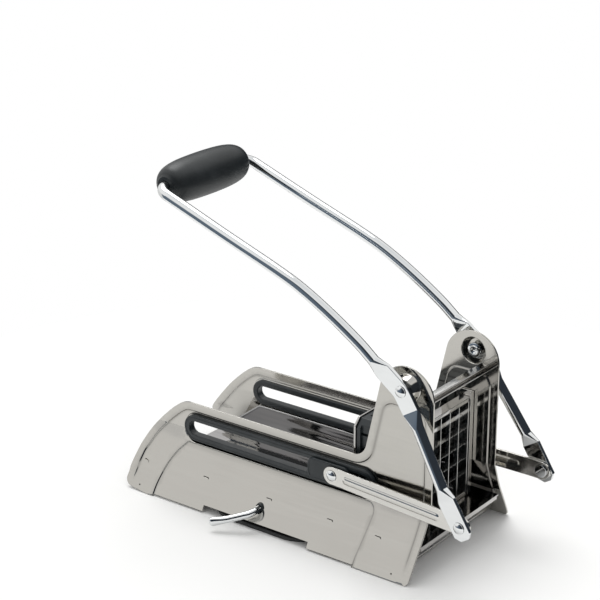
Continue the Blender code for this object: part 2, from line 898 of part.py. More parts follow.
def trough_liner():
    """U-shaped sheet that carries the food, its rear corners cut back on a slant."""
    floor_z = slit_z + tray_thick / 2 + seat_gap
    outer_half = trough_inner_y + trough_thick
    radius = trough_bend_radius
    outer = rounded(
        [(-outer_half, trough_top_z), (-outer_half, floor_z),
         (outer_half, floor_z), (outer_half, trough_top_z)],
        (0.0, radius, radius, 0.0), 5,
    )
    inner = rounded(
        [(-trough_inner_y, trough_top_z), (-trough_inner_y, floor_z + trough_thick),
         (trough_inner_y, floor_z + trough_thick), (trough_inner_y, trough_top_z)],
        (0.0, radius - trough_thick, radius - trough_thick, 0.0), 5,
    )
    section = outer + inner[::-1]
    rear = ahead(-trough_rear_foot_behind)
    mesh = extrusion("trough_liner", [section], rear, ahead(-trough_front_behind), "X")
    made = piece("trough_liner", mesh, polished("trough_liner"))
    slant = [
        (rear - cut_margin, floor_z + trough_thick), (rear, floor_z + trough_thick * 2),
        (ahead(-trough_rear_top_behind), trough_top_z),
        (ahead(-trough_rear_top_behind), trough_top_z + cut_margin),
        (rear - cut_margin, trough_top_z + cut_margin),
    ]
    boolean(made, side_cutter("trough_slant_cut", slant), "DIFFERENCE")


def cross_members():
    """Two riveted rods under the body and the folded tie bar between the towers."""
    for name, x in (("front", cross_rod_front_ahead), ("rear", -cross_rod_rear_behind)):
        place = (ahead(x), 0.0, cross_rod_z)
        mesh = round_bar("cross_rod_" + name, (place[0], -cross_rod_half, place[2]),
                         (place[0], cross_rod_half, place[2]), cross_rod_radius, steps=small_round_steps)
        piece("cross_rod_" + name, mesh, steel("cross_rod_" + name), None, place)
    half_wide, half_high, gauge = tie_bar_wide / 2, tie_bar_high / 2, tie_bar_sheet
    section = [
        (-half_wide, -half_high), (half_wide, -half_high), (half_wide, -half_high + gauge),
        (-half_wide + gauge, -half_high + gauge), (-half_wide + gauge, half_high - gauge),
        (half_wide, half_high - gauge), (half_wide, half_high), (-half_wide, half_high),
    ]
    shape = [(ahead(tie_bar_ahead) + x, tie_bar_z + z) for x, z in section]
    mesh = extrusion("tie_bar", [shape], -tie_bar_half, tie_bar_half, "Y")
    piece("tie_bar", mesh, polished("tie_bar"), None, (ahead(tie_bar_ahead), 0.0, tie_bar_z))


def cartridge_guides():
    """Channels on the towers' inner faces in which the blade cartridge slides."""
    rear = ahead(-cartridge_rear_behind) - seat_gap
    front = rear + cartridge_depth + 2 * seat_gap
    gauge = guide_sheet
    section = [
        (rear - gauge, -guide_back_y), (front + gauge, -guide_back_y), (front + gauge, -guide_lip_y),
        (front, -guide_lip_y), (front, -guide_back_y + gauge), (rear, -guide_back_y + gauge),
        (rear, -guide_lip_y), (rear - gauge, -guide_lip_y),
    ]
    mesh = extrusion("cartridge_guide", [section], guide_foot_z, guide_top_z, "Z")
    place = (ahead(-cartridge_rear_behind), -guide_back_y, guide_foot_z)
    pair("cartridge_guide", mesh, polished, None, place)


# Blade cartridge


def blade_cartridge():
    """Frame with upright blades in front and level blades behind, lifted out upwards."""
    rear = ahead(-cartridge_rear_behind)
    front = rear + cartridge_depth
    opening_half = cell_count * cell_pitch / 2
    opening_foot = cartridge_foot_z + cartridge_foot_bar
    opening_top = opening_foot + cell_count * cell_pitch
    top = opening_top + cartridge_top_bar
    middle_z = (opening_foot + opening_top) / 2
    slide = empty("blade_slide", ((rear + front) / 2, 0.0, middle_z))
    half = cartridge_half_width
    frame_outline = rounded(rectangle(-half, half, cartridge_foot_z, top), blade_layer / 2, 3)
    frame_hole = rectangle(-opening_half, opening_half, opening_foot, opening_top)
    mesh = extrusion("blade_frame", [frame_outline, frame_hole], rear, front, "X")
    piece("blade_frame", mesh, polished("blade_frame"), slide, world_place(slide))
    blade_end = opening_half - seat_gap
    inset = (cartridge_depth - 2 * blade_layer - blade_layer_gap) / 2
    split = rear + inset + blade_layer
    for index in range(1, cell_count):
        offset = index * cell_pitch - opening_half
        name = f"blade_vertical_{index}"
        low = (split + blade_layer_gap, offset - blade_thick / 2, middle_z - blade_end)
        high = (split + blade_layer_gap + blade_layer, offset + blade_thick / 2, middle_z + blade_end)
        piece(name, box(name, low, high), polished(name), slide, world_place(slide))
        name = f"blade_horizontal_{index}"
        low = (rear + inset, -blade_end, middle_z + offset - blade_thick / 2)
        high = (split, blade_end, middle_z + offset + blade_thick / 2)
        piece(name, box(name, low, high), polished(name), slide, world_place(slide))


# Pusher


def pusher(slide):
    """Steel plate with ears, black peg block and the shoes that run in the slots."""
    place = world_place(slide)
    half = plate_half_width
    shape = chamfered_outline(half, plate_foot_z, plate_top_z, plate_chamfer)
    rear = ahead(-plate_behind)
    mesh = extrusion("pusher_plate", [shape], rear, rear + plate_thick, "X")
    plate = piece("pusher_plate", mesh, polished("pusher_plate"), slide, place)
    ear_low = slot_mid_z - plate_ear_half_height
    ear_high = slot_mid_z + plate_ear_half_height
    for side in (-1.0, 1.0):
        edges = sorted((side * half, side * (half - plate_thick)))
        ear = box("pusher_ear", (rear - plate_ear_reach, edges[0], ear_low),
                  (rear + union_overlap, edges[1], ear_high))
        name = "pusher_ear_near" if side < 0.0 else "pusher_ear_far"
        boolean(plate, cutter(name, ear), "UNION")
    peg_block(slide, rear + plate_thick + seat_gap)
    slider_shoes(slide)
    slider_rivets(slide)


def chamfered_outline(half, foot, top, chamfer):
    """Plate outline in (Y, Z), its upper corners cut off and its lower ones clear of the trough's bends."""
    low = plate_foot_chamfer
    return [(-half + low, foot), (half - low, foot), (half, foot + low), (half, top - chamfer),
            (half - chamfer, top), (-half + chamfer, top), (-half, top - chamfer), (-half, foot + low)]


def peg_block(slide, rear):
    """Black block whose pegs line up with the blade cells."""
    opening_half = cell_count * cell_pitch / 2
    first_z = cartridge_foot_z + cartridge_foot_bar
    base_half = plate_half_width - block_inset
    foot_z, top_z = plate_foot_z + block_inset, plate_top_z - block_inset
    outline = chamfered_outline(base_half, foot_z, top_z, plate_chamfer)
    base = extrusion("pusher_block", [outline], rear, rear + block_base, "X")
    block = piece("pusher_block", base, black_plastic("pusher_block"), slide, world_place(slide))
    pegs = []
    gap = peg_groove / 2
    for row in range(cell_count):
        for column in range(cell_count):
            y = column * cell_pitch - opening_half
            z = first_z + row * cell_pitch
            pegs.append(box("peg", (rear + block_base - union_overlap, y + gap, z + gap),
                            (rear + block_depth, y + cell_pitch - gap, z + cell_pitch - gap)))
    tool = cutter("peg_shapes", joined("peg_shapes", pegs))
    limit = cutter("peg_limit", extrusion("peg_limit", [outline], rear, rear + block_depth + cut_margin, "X"))
    boolean(tool, limit, "INTERSECT")
    boolean(block, tool, "UNION")


def slider_shoes(slide):
    """Black shoes: a flange outside the liner and a web through the slot to the plate's ear."""
    rear = ahead(-shoe_rear_behind)
    front = ahead(-shoe_front_behind)
    flange = rounded(
        rectangle(rear, front, slot_mid_z - shoe_flange_half, slot_mid_z + shoe_flange_half),
        shoe_flange_radius, 4,
    )
    face = -liner_outer_y - seat_gap
    mesh = extrusion("slider_shoe", [flange], face - shoe_flange_thick, face, "Y")
    web_outline = rounded(
        rectangle(rear, front, slot_mid_z - shoe_web_half, slot_mid_z + shoe_web_half),
        shoe_web_radius, 3,
    )
    web = extrusion("shoe_web", [web_outline], face - union_overlap, -plate_half_width - seat_gap, "Y")
    place = world_place(slide)
    near, far = pair("slider_shoe", mesh, black_plastic, slide, (place.x, face, place.z))
    boolean(near, cutter("slider_shoe_near_web", web.copy()), "UNION")
    boolean(far, cutter("slider_shoe_far_web", mirrored_mesh(web, "web_far")), "UNION")


# Lever and links


def lever_direction():
    """Unit vector from the pivot down to the lower pin, in (X, Z)."""
    return Vector((lower_pin_ahead, lower_pin_z - pivot_z)).normalized()


def bar_outline(points, halves):
    """Outline of a flat bar of changing width along a line in (X, Z)."""
    left = []
    right = []
    for index, point in enumerate(points):
        here = Vector(point)
        back = Vector(points[max(index - 1, 0)])
        onward = Vector(points[min(index + 1, len(points) - 1)])
        run = (onward - back).normalized()
        normal = Vector((-run.y, run.x))
        left.append(tuple(here + normal * halves[index]))
        right.append(tuple(here - normal * halves[index]))
    return left + right[::-1]


def upper_plate_outline():
    """Flattened length of the rod at the pivot, slightly bent there."""
    pivot = Vector((ahead(0.0), pivot_z))
    rise = Vector((arm_route[0][0], arm_route[0][1])).normalized()
    drop = lever_direction()
    half = plate_bar_width / 2
    taper = half - plate_neck / 2
    points = [
        pivot + rise * (upper_plate_rise + taper), pivot + rise * (upper_plate_rise - taper),
        pivot, pivot + drop * (upper_plate_drop - taper), pivot + drop * (upper_plate_drop + taper),
    ]
    return bar_outline([tuple(p) for p in points], (plate_neck / 2, half, half, half, plate_neck / 2))


def lower_plate_outline():
    """Flattened lower end of the rod, with its end corners cut off."""
    pin = Vector((ahead(lower_pin_ahead), lower_pin_z))
    drop = lever_direction()
    half = plate_bar_width / 2
    points = [
        pin - drop * (lower_plate_rise + half), pin - drop * (lower_plate_rise - half / 2),
        pin + drop * (lower_plate_drop - plate_end_chamfer), pin + drop * lower_plate_drop,
    ]
    return bar_outline([tuple(p) for p in points], (plate_neck / 2, half, half, half - plate_end_chamfer))


def arm_points(side):
    """Centre line of one arm from its flattened plate up to the bail's corner."""
    flat = curve_through(arm_route, 1)
    return [(ahead(x), side * arm_y, pivot_z + z) for x, z in flat]


def bail_route():
    """Whole rod: near arm, round corner, crossbar, round corner, far arm."""
    near = [Vector(p) for p in arm_points(-1.0)]
    far = [Vector(p) for p in arm_points(1.0)]
    corner = near[-1]
    along = (near[-1] - near[-2]).normalized()
    route = near[:-1]
    steps = corner_steps
    for step in range(steps + 1):
        angle = math.pi / 2 * step / steps
        back = along * (-bail_corner_radius * (1 - math.sin(angle)))
        across = Vector((0.0, bail_corner_radius * (1 - math.cos(angle)), 0.0))
        route.append(corner + back + across)
    mirrored = [Vector((p.x, -p.y, p.z)) for p in route[len(near) - 1:]][::-1]
    return [tuple(p) for p in route] + [tuple(p) for p in mirrored] + [tuple(p) for p in far[:-1][::-1]]


def lower_rod_route():
    """Round length between the two flattened plates, leaning outwards."""
    pivot = Vector((ahead(0.0), pivot_z))
    pin = Vector((ahead(lower_pin_ahead), lower_pin_z))
    drop = lever_direction()
    start = pivot + drop * upper_plate_drop
    end = pin - drop * lower_rod_end
    upper_y = upper_plate_y + plate_bar_thick / 2
    lower_y = lower_plate_y + lower_plate_thick / 2
    bend = drop * (rod_radius * 3)
    flat = [(start, upper_y), (start + bend, arm_y), (end - bend, lower_rod_y), (end, lower_y)]
    return [(point.x, -y, point.y) for point, y in flat]


def lever(axis):
    """One chromed rod with flattened ends, the grip on its crossbar and the rivets."""
    place = world_place(axis)
    mesh = tube("lever_bail", bail_route(), rod_radius)
    bail = piece("lever_bail", mesh, chrome("lever_bail"), axis, place)
    upper = [upper_plate_outline(), circle((ahead(0.0), pivot_z), rivet_shank_radius + rivet_clearance)]
    upper_mesh = extrusion("upper_plate", upper, -upper_plate_y - plate_bar_thick, -upper_plate_y, "Y")
    pin = (ahead(lower_pin_ahead), lower_pin_z)
    lower = [lower_plate_outline(), circle(pin, rivet_shank_radius + rivet_clearance)]
    lower_mesh = extrusion("lower_plate", lower, -lower_plate_y - lower_plate_thick, -lower_plate_y, "Y")
    rod_mesh = tube("lower_rod", lower_rod_route(), rod_radius)
    for source in (upper_mesh, lower_mesh, rod_mesh):
        boolean(bail, cutter(source.name + "_near", source.copy()), "UNION")
        boolean(bail, cutter(source.name + "_far", mirrored_mesh(source, source.name)), "UNION")
    bore = [(along, grip_bore_radius) for along in (grip_profile[-1][0], grip_profile[0][0])]
    centre = Vector((ahead(arm_route[-1][0]), 0.0, pivot_z + arm_route[-1][1]))
    turned("grip", list(grip_profile) + bore, centre, black_plastic("grip"), axis)
    pivot_rivets(axis)
    lower_rivets(axis)


def rivet_pair(name, centre, head, shank, foot, axis):
    """Near and far rivets along Y: a tapered outer head, a shank and, if given, an inner head.

    Head and shank are spans of half width; a foot is a span and a radius.
    """
    x, z = centre
    outer = round_bar(name, (x, -head[0], z), (x, -head[1], z), rivet_head_radius, rivet_head_top_radius)
    sources = [round_bar(name + "_shank", (x, -shank[0], z), (x, -shank[1], z),
                         rivet_shank_radius, steps=small_round_steps)]
    if foot is not None:
        sources.append(round_bar(name + "_foot", (x, -foot[0], z), (x, -foot[1], z), foot[2]))
    near, far = pair(name, outer, chrome, axis, (x, -head[0], z))
    for source in sources:
        boolean(near, cutter(source.name + "_near", source.copy()), "UNION")
        boolean(far, cutter(source.name + "_far", mirrored_mesh(source, source.name)), "UNION")


def pivot_rivets(axis):
    """Rivets that carry the lever on the towers."""
    head = upper_plate_y + plate_bar_thick + seat_gap
    inner_end = pivot_inner_head_y + pivot_inner_head_thick
    rivet_pair(
        "pivot_rivet", (ahead(0.0), pivot_z), (head, head + rivet_head_thick),
        (inner_end - union_overlap, head + union_overlap),
        (pivot_inner_head_y, inner_end, pivot_inner_head_radius), axis,
    )


def lower_rivets(axis):
    """Outer heads of the pins at the lever's lower ends, flush with the plates' inner faces."""
    head = lower_plate_y + lower_plate_thick + seat_gap
    rivet_pair(
        "lower_rivet", (ahead(lower_pin_ahead), lower_pin_z), (head, head + rivet_head_thick),
        (lower_plate_y, head + union_overlap), None, axis,
    )


def link_end_rivets(axis):
    """Inner heads of the same pins, held in the links' ends."""
    inner_high = link_lever_y - seat_gap
    inner_low = inner_high - rivet_foot_thick
    centre = (ahead(lower_pin_ahead), lower_pin_z)
    foot = round_bar("link_end_rivet", (centre[0], -inner_low, centre[1]),
                     (centre[0], -inner_high, centre[1]), rivet_inner_radius)
    shank = round_bar("link_end_shank", (centre[0], -inner_high + union_overlap, centre[1]),
                      (centre[0], -link_lever_y - link_thick, centre[1]),
                      rivet_shank_radius, steps=small_round_steps)
    near, far = pair("link_end_rivet", foot, chrome, axis, (centre[0], -inner_high, centre[1]))
    boolean(near, cutter("link_end_shank_near", shank.copy()), "UNION")
    boolean(far, cutter("link_end_shank_far", mirrored_mesh(shank, "link_end_shank")), "UNION")


def slider_rivets(slide):
    """Pins on the shoes, about which the links turn."""
    head = link_slider_y + link_thick + seat_gap
    inner_end = liner_outer_y + seat_gap + shoe_flange_thick + seat_gap
    rivet_pair(
        "slider_rivet", (ahead(slider_pin_ahead), slot_mid_z), (head, head + rivet_head_thick),
        (inner_end, head + union_overlap), None, slide,
    )


def link_plan(extra):
    """Plan outline of the cranked link strip in (X, Y), near side, proud by an extra."""
    start = ahead(slider_pin_ahead)
    low, high = link_slider_y, link_lever_y
    bend_from, bend_to = start + link_bend_from, start + link_bend_to
    line = [(start - link_half_width * 2, low)]
    line.extend([(bend_from, low), (bend_to, high)])
    line.append((ahead(lower_pin_ahead) + link_half_width * 2, high))
    inner = [(x, -y) for x, y in line]
    outer = [(x, -y - link_thick - extra) for x, y in line]
    return inner + outer[::-1]


def links(axis):
    """Flat stamped bars between the lever's lower ends and the shoes."""
    start = (ahead(slider_pin_ahead), slot_mid_z)
    end = (ahead(lower_pin_ahead), lower_pin_z)
    hole = rivet_shank_radius + rivet_clearance
    strip = extrusion("link", [link_plan(0.0)], lower_pin_z - link_half_width * 2,
                      slot_mid_z + link_half_width * 2, "Z")
    side = cutter("link_side", extrusion(
        "link_side", [stadium(start, end, link_half_width), circle(start, hole), circle(end, hole)],
        -lower_plate_y - cut_margin, -liner_inner_y, "Y",
    ))
    run = (Vector(end) - Vector(start)).normalized()
    rib_start = tuple(Vector(start) + run * rib_from)
    rib_end = tuple(Vector(start) + run * rib_to)
    rib = cutter("link_rib", extrusion(
        "link_rib", [link_plan(rib_proud)], lower_pin_z - link_half_width * 2,
        slot_mid_z + link_half_width * 2, "Z",
    ))
    rib_side = cutter("rib_side", extrusion(
        "rib_side", [stadium(rib_start, rib_end, rib_half_width, 6)],
        -lower_plate_y - cut_margin, -liner_inner_y, "Y",
    ))
    boolean(rib, rib_side, "INTERSECT")
    shape = cutter("link_shape", strip)
    boolean(shape, side, "INTERSECT")
    boolean(shape, rib, "UNION")
    graph = bpy.context.evaluated_depsgraph_get()
    graph.update()
    mesh = bpy.data.meshes.new_from_object(shape.evaluated_get(graph))
    place = world_place(axis)
    pair("link", mesh, chrome, axis, (place.x, -link_slider_y, place.z))
    link_end_rivets(axis)


# Suction clamp


def suction_clamp():
    """Rubber pad, plate with two bearing lugs, and the lever that turns the cam."""
    pad = rounded(
        rectangle(clamp_x - pad_half_length, clamp_x + pad_half_length, -pad_half_width, pad_half_width),
        pad_corner_radius, 6,
    )
    pad_mesh = extrusion("suction_pad", [pad], 0.0, pad_thick, "Z")
    made = piece("suction_pad", pad_mesh, rubber("suction_pad"))
    bevel = made.modifiers.new("edge", "BEVEL")
    bevel.width = pad_edge_bevel
    bevel.segments = 1
    bevel.limit_method = "ANGLE"
    housing_foot = pad_thick + seat_gap
    outline = rounded(
        rectangle(clamp_x - housing_half_length, clamp_x + housing_half_length,
                  -housing_half_width, housing_half_width), housing_corner_radius, 4,
    )
    stem_hole = circle((clamp_x, 0.0), stem_radius + seat_gap)
    housing_top = housing_foot + housing_thick
    plate = extrusion("suction_housing", [outline, stem_hole], housing_foot, housing_top, "Z")
    housing = piece("suction_housing", plate, black_plastic("suction_housing"))
    bore = circle((clamp_x, clamp_axis_z), clamp_rod_radius + clamp_bore_gap)
    lug_top_z = slit_z - tray_thick / 2 - seat_gap
    lug_outline = rounded(
        rectangle(clamp_x - lug_half_length, clamp_x + lug_half_length,
                  housing_top - union_overlap, lug_top_z),
        (0.0, 0.0, lug_half_length / 2, lug_half_length / 2), 4,
    )
    for index, (low, high) in enumerate(lug_places):
        lug = extrusion("lug", [lug_outline, bore], low, high, "Y")
        boolean(housing, cutter(f"housing_lug_{index + 1}", lug), "UNION")
    clamp_bushing()
    axis = empty("suction_axis", (clamp_x, 0.0, clamp_axis_z))
    clamp_lever(axis)
    stem_low = (clamp_x, 0.0, pad_thick + seat_gap)
    stem = round_bar("suction_stem", stem_low, (clamp_x, 0.0, stem_top_z), stem_radius)
    piece("suction_stem", stem, steel("suction_stem"), None, stem_low)


def clamp_bushing():
    """Black collar in the near wall's hole."""
    outer = outer_y(clamp_axis_z, 2 * stamp_step)
    ring = [circle((clamp_x, clamp_axis_z), bushing_radius), circle(
        (clamp_x, clamp_axis_z), clamp_rod_radius + clamp_bore_gap)]
    mesh = extrusion("suction_bushing", ring, -outer - bushing_length / 2, -outer + bushing_length / 2, "Y")
    piece("suction_bushing", mesh, black_plastic("suction_bushing"))


def clamp_lever(axis):
    """Chromed rod bent to the rear, with a rounded tip and an eccentric cam on its shaft."""
    place = world_place(axis)
    route = [tuple(place + Vector((0.0, clamp_shaft_end, 0.0)))]
    for x, out, z in clamp_bend:
        route.append(tuple(place + Vector((x, -clamp_bend_y - out, z))))
    mesh = tube("suction_lever", route, clamp_rod_radius)
    made = piece("suction_lever", mesh, chrome("suction_lever"), axis, place)
    tip = Vector(route[-1])
    run = (tip - Vector(route[-2])).normalized()
    flat = stadium((0.0, 0.0), (paddle_length - 2 * paddle_half_width, 0.0), paddle_half_width, 6)
    paddle = extruded_mesh("paddle", [flat], -paddle_thick / 2, paddle_thick / 2)
    across = run.cross(Vector((0.0, 0.0, 1.0))).normalized()
    up = across.cross(run).normalized()
    turn = Matrix((
        (run.x, up.x, -across.x, tip.x - run.x * paddle_setback),
        (run.y, up.y, -across.y, tip.y - run.y * paddle_setback),
        (run.z, up.z, -across.z, tip.z - run.z * paddle_setback),
        (0.0, 0.0, 0.0, 1.0),
    ))
    paddle.transform(turn)
    boolean(made, cutter("paddle_shape", paddle), "UNION")
    hole = circle((clamp_x, clamp_axis_z), clamp_rod_radius + seat_gap, small_round_steps)
    cam_outline = circle((clamp_x, clamp_axis_z - cam_offset), cam_radius)
    cam = extrusion("suction_cam", [cam_outline, hole], -cam_half_length, cam_half_length, "Y")
    piece("suction_cam", cam, steel("suction_cam"), axis, place)


for item in list(bpy.data.objects):
    bpy.data.objects.remove(item)

parts = collection("french_fry_cutter")
cutters = collection("cutters")

side_walls()
slot_liners()
floor_tray()
trough_liner()
cross_members()
cartridge_guides()
blade_cartridge()
pusher_slide = empty("pusher_slide", (ahead(slider_pin_ahead), 0.0, slot_mid_z))
link_axis = empty("link_axis", (ahead(slider_pin_ahead), 0.0, slot_mid_z), pusher_slide)
lever_axis = empty("lever_axis", (ahead(0.0), 0.0, pivot_z))
pusher(pusher_slide)
lever(lever_axis)
links(link_axis)
suction_clamp()
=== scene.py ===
"""French fry cutter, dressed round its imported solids.

Lengths are in metres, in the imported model's own frame: the origin lies on the table under the
suction pad, X runs along the body towards the blades, Y across it and Z up. Pieces are drawn for
the near side, at minus Y, and mirrored for the far side.
"""

import json
import logging
import math
from dataclasses import dataclass
from enum import Enum
from typing import Callable, Optional, Sequence

import bmesh
import bpy
import numpy as np
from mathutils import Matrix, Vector
from mathutils.geometry import delaunay_2d_cdt

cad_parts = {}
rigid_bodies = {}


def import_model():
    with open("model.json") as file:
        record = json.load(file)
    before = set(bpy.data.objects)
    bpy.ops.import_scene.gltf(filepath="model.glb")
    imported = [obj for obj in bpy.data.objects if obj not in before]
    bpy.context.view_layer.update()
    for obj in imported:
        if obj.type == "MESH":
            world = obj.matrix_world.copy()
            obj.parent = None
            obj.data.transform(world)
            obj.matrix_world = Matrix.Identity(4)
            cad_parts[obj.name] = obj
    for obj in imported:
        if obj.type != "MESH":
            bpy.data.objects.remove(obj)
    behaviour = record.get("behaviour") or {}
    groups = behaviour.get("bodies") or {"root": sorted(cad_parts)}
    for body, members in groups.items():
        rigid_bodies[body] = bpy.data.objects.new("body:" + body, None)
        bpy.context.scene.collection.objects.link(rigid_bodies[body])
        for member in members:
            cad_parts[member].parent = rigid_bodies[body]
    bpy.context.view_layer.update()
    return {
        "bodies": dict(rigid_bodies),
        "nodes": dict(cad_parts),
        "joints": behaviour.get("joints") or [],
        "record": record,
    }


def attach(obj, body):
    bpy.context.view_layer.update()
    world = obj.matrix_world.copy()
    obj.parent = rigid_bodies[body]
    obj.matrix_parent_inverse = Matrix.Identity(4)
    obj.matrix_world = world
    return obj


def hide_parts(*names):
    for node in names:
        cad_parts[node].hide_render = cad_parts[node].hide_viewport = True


log = logging.getLogger("fry_cutter")

Point = tuple[float, float]
Outline = list[Point]
Colour = tuple[float, float, float]

# Name of the mesh attribute that holds the share of painted shade in the pressed shoulders
SHADE_ATTRIBUTE = "painted_shade"
# Points nearer to each other than this are welded
WELD_DISTANCE = 0.000002
# Weight that large faces have in the normals of the edges beside them
FACE_WEIGHT = 80
# Limit of the stretch at a mitred corner of a shifted line, as a cosine
SHARPEST_MITRE = 0.5
SQUARE_TURN = math.pi / 2


class Side(Enum):
    """The two long sides of the cutter."""

    NEAR = -1.0
    FAR = 1.0

    @property
    def label(self) -> str:
        """Ending of the names of this side's pieces."""
        return self.name.lower()


class Rides(Enum):
    """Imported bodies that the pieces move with."""

    BODY = "body"
    CARTRIDGE = "cartridge"
    PUSHER = "pusher"
    LINKS = "links"
    LEVER = "lever"
    CLAMP = "clamp_lever"


class Slot(Enum):
    """Material slots of the record."""

    STEEL = "satin_steel"
    POLISHED = "polished_steel"
    CHROME = "chrome"
    PLASTIC = "black_plastic"
    RUBBER = "rubber"


# Outlines


def arc(centre: Point, radius: float, start: float, end: float, steps: int) -> Outline:
    """Points on an arc, both ends included.

    Args:
        centre: Middle of the circle.
        radius: Its radius.
        start: First angle, in radians.
        end: Last angle.
        steps: Number of chords.

    Returns:
        The points in order.
    """
    angles = [start + (end - start) * step / steps for step in range(steps + 1)]
    return [(centre[0] + radius * math.cos(a), centre[1] + radius * math.sin(a)) for a in angles]


def circle(centre: Point, radius: float, steps: int = 48) -> Outline:
    """A round outline.

    Args:
        centre: Middle of the circle.
        radius: Its radius.
        steps: Number of points.

    Returns:
        The points in order.
    """
    return arc(centre, radius, 0.0, 2 * math.pi * (steps - 1) / steps, steps - 1)


def rounded(points: Sequence[Point], radii: Sequence[float], steps: int = 6,
            closed: bool = True) -> Outline:
    """An outline with each corner replaced by a tangent arc.

    Args:
        points: Corners in order.
        radii: One radius for each corner, zero for a sharp one.
        steps: Chords in each arc.
        closed: Whether the last corner joins the first.

    Returns:
        The rounded outline.
    """
    result: Outline = []
    count = len(points)
    for index in range(count):
        corner = Vector(points[index])
        if radii[index] <= 0.0 or (not closed and index in (0, count - 1)):
            result.append(tuple(corner))
            continue
        before = (Vector(points[index - 1]) - corner).normalized()
        after = (Vector(points[(index + 1) % count]) - corner).normalized()
        half = before.angle(after) / 2
        reach = radii[index] / math.tan(half)
        centre = corner + (before + after).normalized() * (radii[index] / math.sin(half))
        start = corner + before * reach - centre
        end = corner + after * reach - centre
        sweep = start.angle(end)
        turn = 1.0 if start.x * end.y - start.y * end.x > 0.0 else -1.0
        first = math.atan2(start.y, start.x)
        result.extend(arc(tuple(centre), radii[index], first, first + turn * sweep, steps))
    return result


def rounded_box(low: Point, high: Point, radius: float, steps: int = 6) -> Outline:
    """A rectangle with round corners.

    Args:
        low: Lower corner.
        high: Upper corner.
        radius: Corner radius.
        steps: Chords in each corner.

    Returns:
        The outline.
    """
    corners = [low, (high[0], low[1]), high, (low[0], high[1])]
    return rounded(corners, [radius] * 4, steps)


def on_curve(corners: Sequence[Vector], share: float) -> Vector:
    """A point between the middle two of four, by Catmull and Rom's rule.

    Args:
        corners: The four points.
        share: How far it lies from the second to the third.

    Returns:
        The point.
    """
    a, b, c, d = corners
    value = 2 * b + (c - a) * share + (2 * a - 5 * b + 4 * c - d) * share * share
    value = value + (3 * b - a - 3 * c + d) * share * share * share
    return value / 2


def curve_through(points: Sequence[Point], steps: int) -> Outline:
    """A smooth open line through points, by Catmull and Rom's rule.

    Args:
        points: Points that the line passes through.
        steps: Pieces between each two of them.

    Returns:
        The finer line.
    """
    padded = [Vector(points[0])] + [Vector(p) for p in points] + [Vector(points[-1])]
    result: Outline = []
    for index in range(len(points) - 1):
        corners = padded[index : index + 4]
        result.extend(tuple(on_curve(corners, step / steps)) for step in range(steps))
    result.append(tuple(points[-1]))
    return result


def shifted(points: Sequence[Point], distance: float) -> Outline:
    """An open line moved sideways, to the right of its direction for a positive distance.

    Args:
        points: The line.
        distance: How far it moves.

    Returns:
        The moved line.
    """
    result: Outline = []
    for index, point in enumerate(points):
        here = Vector(point)
        back = (here - Vector(points[index - 1])).normalized() if index > 0 else None
        onward = (Vector(points[index + 1]) - here).normalized() if index < len(points) - 1 else None
        back = back or onward
        onward = onward or back
        mean = (back + onward).normalized()
        normal = Vector((mean.y, -mean.x))
        result.append(tuple(here + normal * (distance / max(SHARPEST_MITRE, mean.dot(onward)))))
    return result


def stadium(start: Point, end: Point, half: float, steps: int = 20) -> Outline:
    """A slot outline with round ends.

    Args:
        start: Centre of one end.
        end: Centre of the other.
        half: Half width.
        steps: Chords in each end.

    Returns:
        The outline.
    """
    heading = math.atan2(end[1] - start[1], end[0] - start[0])
    points = arc(end, half, heading - SQUARE_TURN, heading + SQUARE_TURN, steps)
    points.extend(arc(start, half, heading + SQUARE_TURN, heading + 3 * SQUARE_TURN, steps))
    return points


def resampled(points: Sequence[Point], step: float, closed: bool = True) -> Outline:
    """An outline with its long chords divided.

    Args:
        points: The outline.
        step: Longest chord allowed.
        closed: Whether the last point joins the first.

    Returns:
        The finer outline.
    """
    result: Outline = []
    count = len(points)
    for index in range(count if closed else count - 1):
        here = Vector(points[index])
        run = Vector(points[(index + 1) % count]) - here
        parts = max(1, math.ceil(run.length / step))
        result.extend(tuple(here + run * (part / parts)) for part in range(parts))
    if not closed:
        result.append(tuple(points[-1]))
    return result


def signed_distance(points: np.ndarray, outline: Sequence[Point]) -> np.ndarray:
    """Distance of points to a closed outline, negative inside it.

    Args:
        points: Array of shape (count, 2).
        outline: The closed outline.

    Returns:
        One distance for each point.
    """
    least_square, least_rise = 1e-18, 1e-15
    start = np.array(outline, float)
    end = np.roll(start, -1, axis=0)
    run = end - start
    offset = points[:, None, :] - start[None]
    length = np.maximum((run * run).sum(1), least_square)
    share = np.clip((offset * run).sum(2) / length, 0.0, 1.0)
    gap = np.linalg.norm(offset - share[..., None] * run, axis=2).min(1)
    height = points[:, 1][:, None]
    straddles = (start[:, 1] > height) != (end[:, 1] > height)
    slope = run[:, 0] / np.where(np.abs(run[:, 1]) < least_rise, least_rise, run[:, 1])
    crossed = points[:, 0][:, None] < start[:, 0] + slope * (height - start[:, 1])
    inside = (straddles & crossed).sum(1) % 2 == 1
    return np.where(inside, -gap, gap)


def eased(share: np.ndarray) -> np.ndarray:
    """Smooth step from 0 to 1 over shares from 0 to 1."""
    share = np.clip(share, 0.0, 1.0)
    return share * share * (3.0 - 2.0 * share)


# Meshes


def mesh_object(name: str, work: bmesh.types.BMesh) -> bpy.types.Object:
    """A linked object from a bmesh, which is freed.

    Args:
        name: Name of the object.
        work: Its geometry, in world coordinates.

    Returns:
        The new object.
    """
    mesh = bpy.data.meshes.new(name)
    work.to_mesh(mesh)
    work.free()
    made = bpy.data.objects.new(name, mesh)
    bpy.context.scene.collection.objects.link(made)
    return made


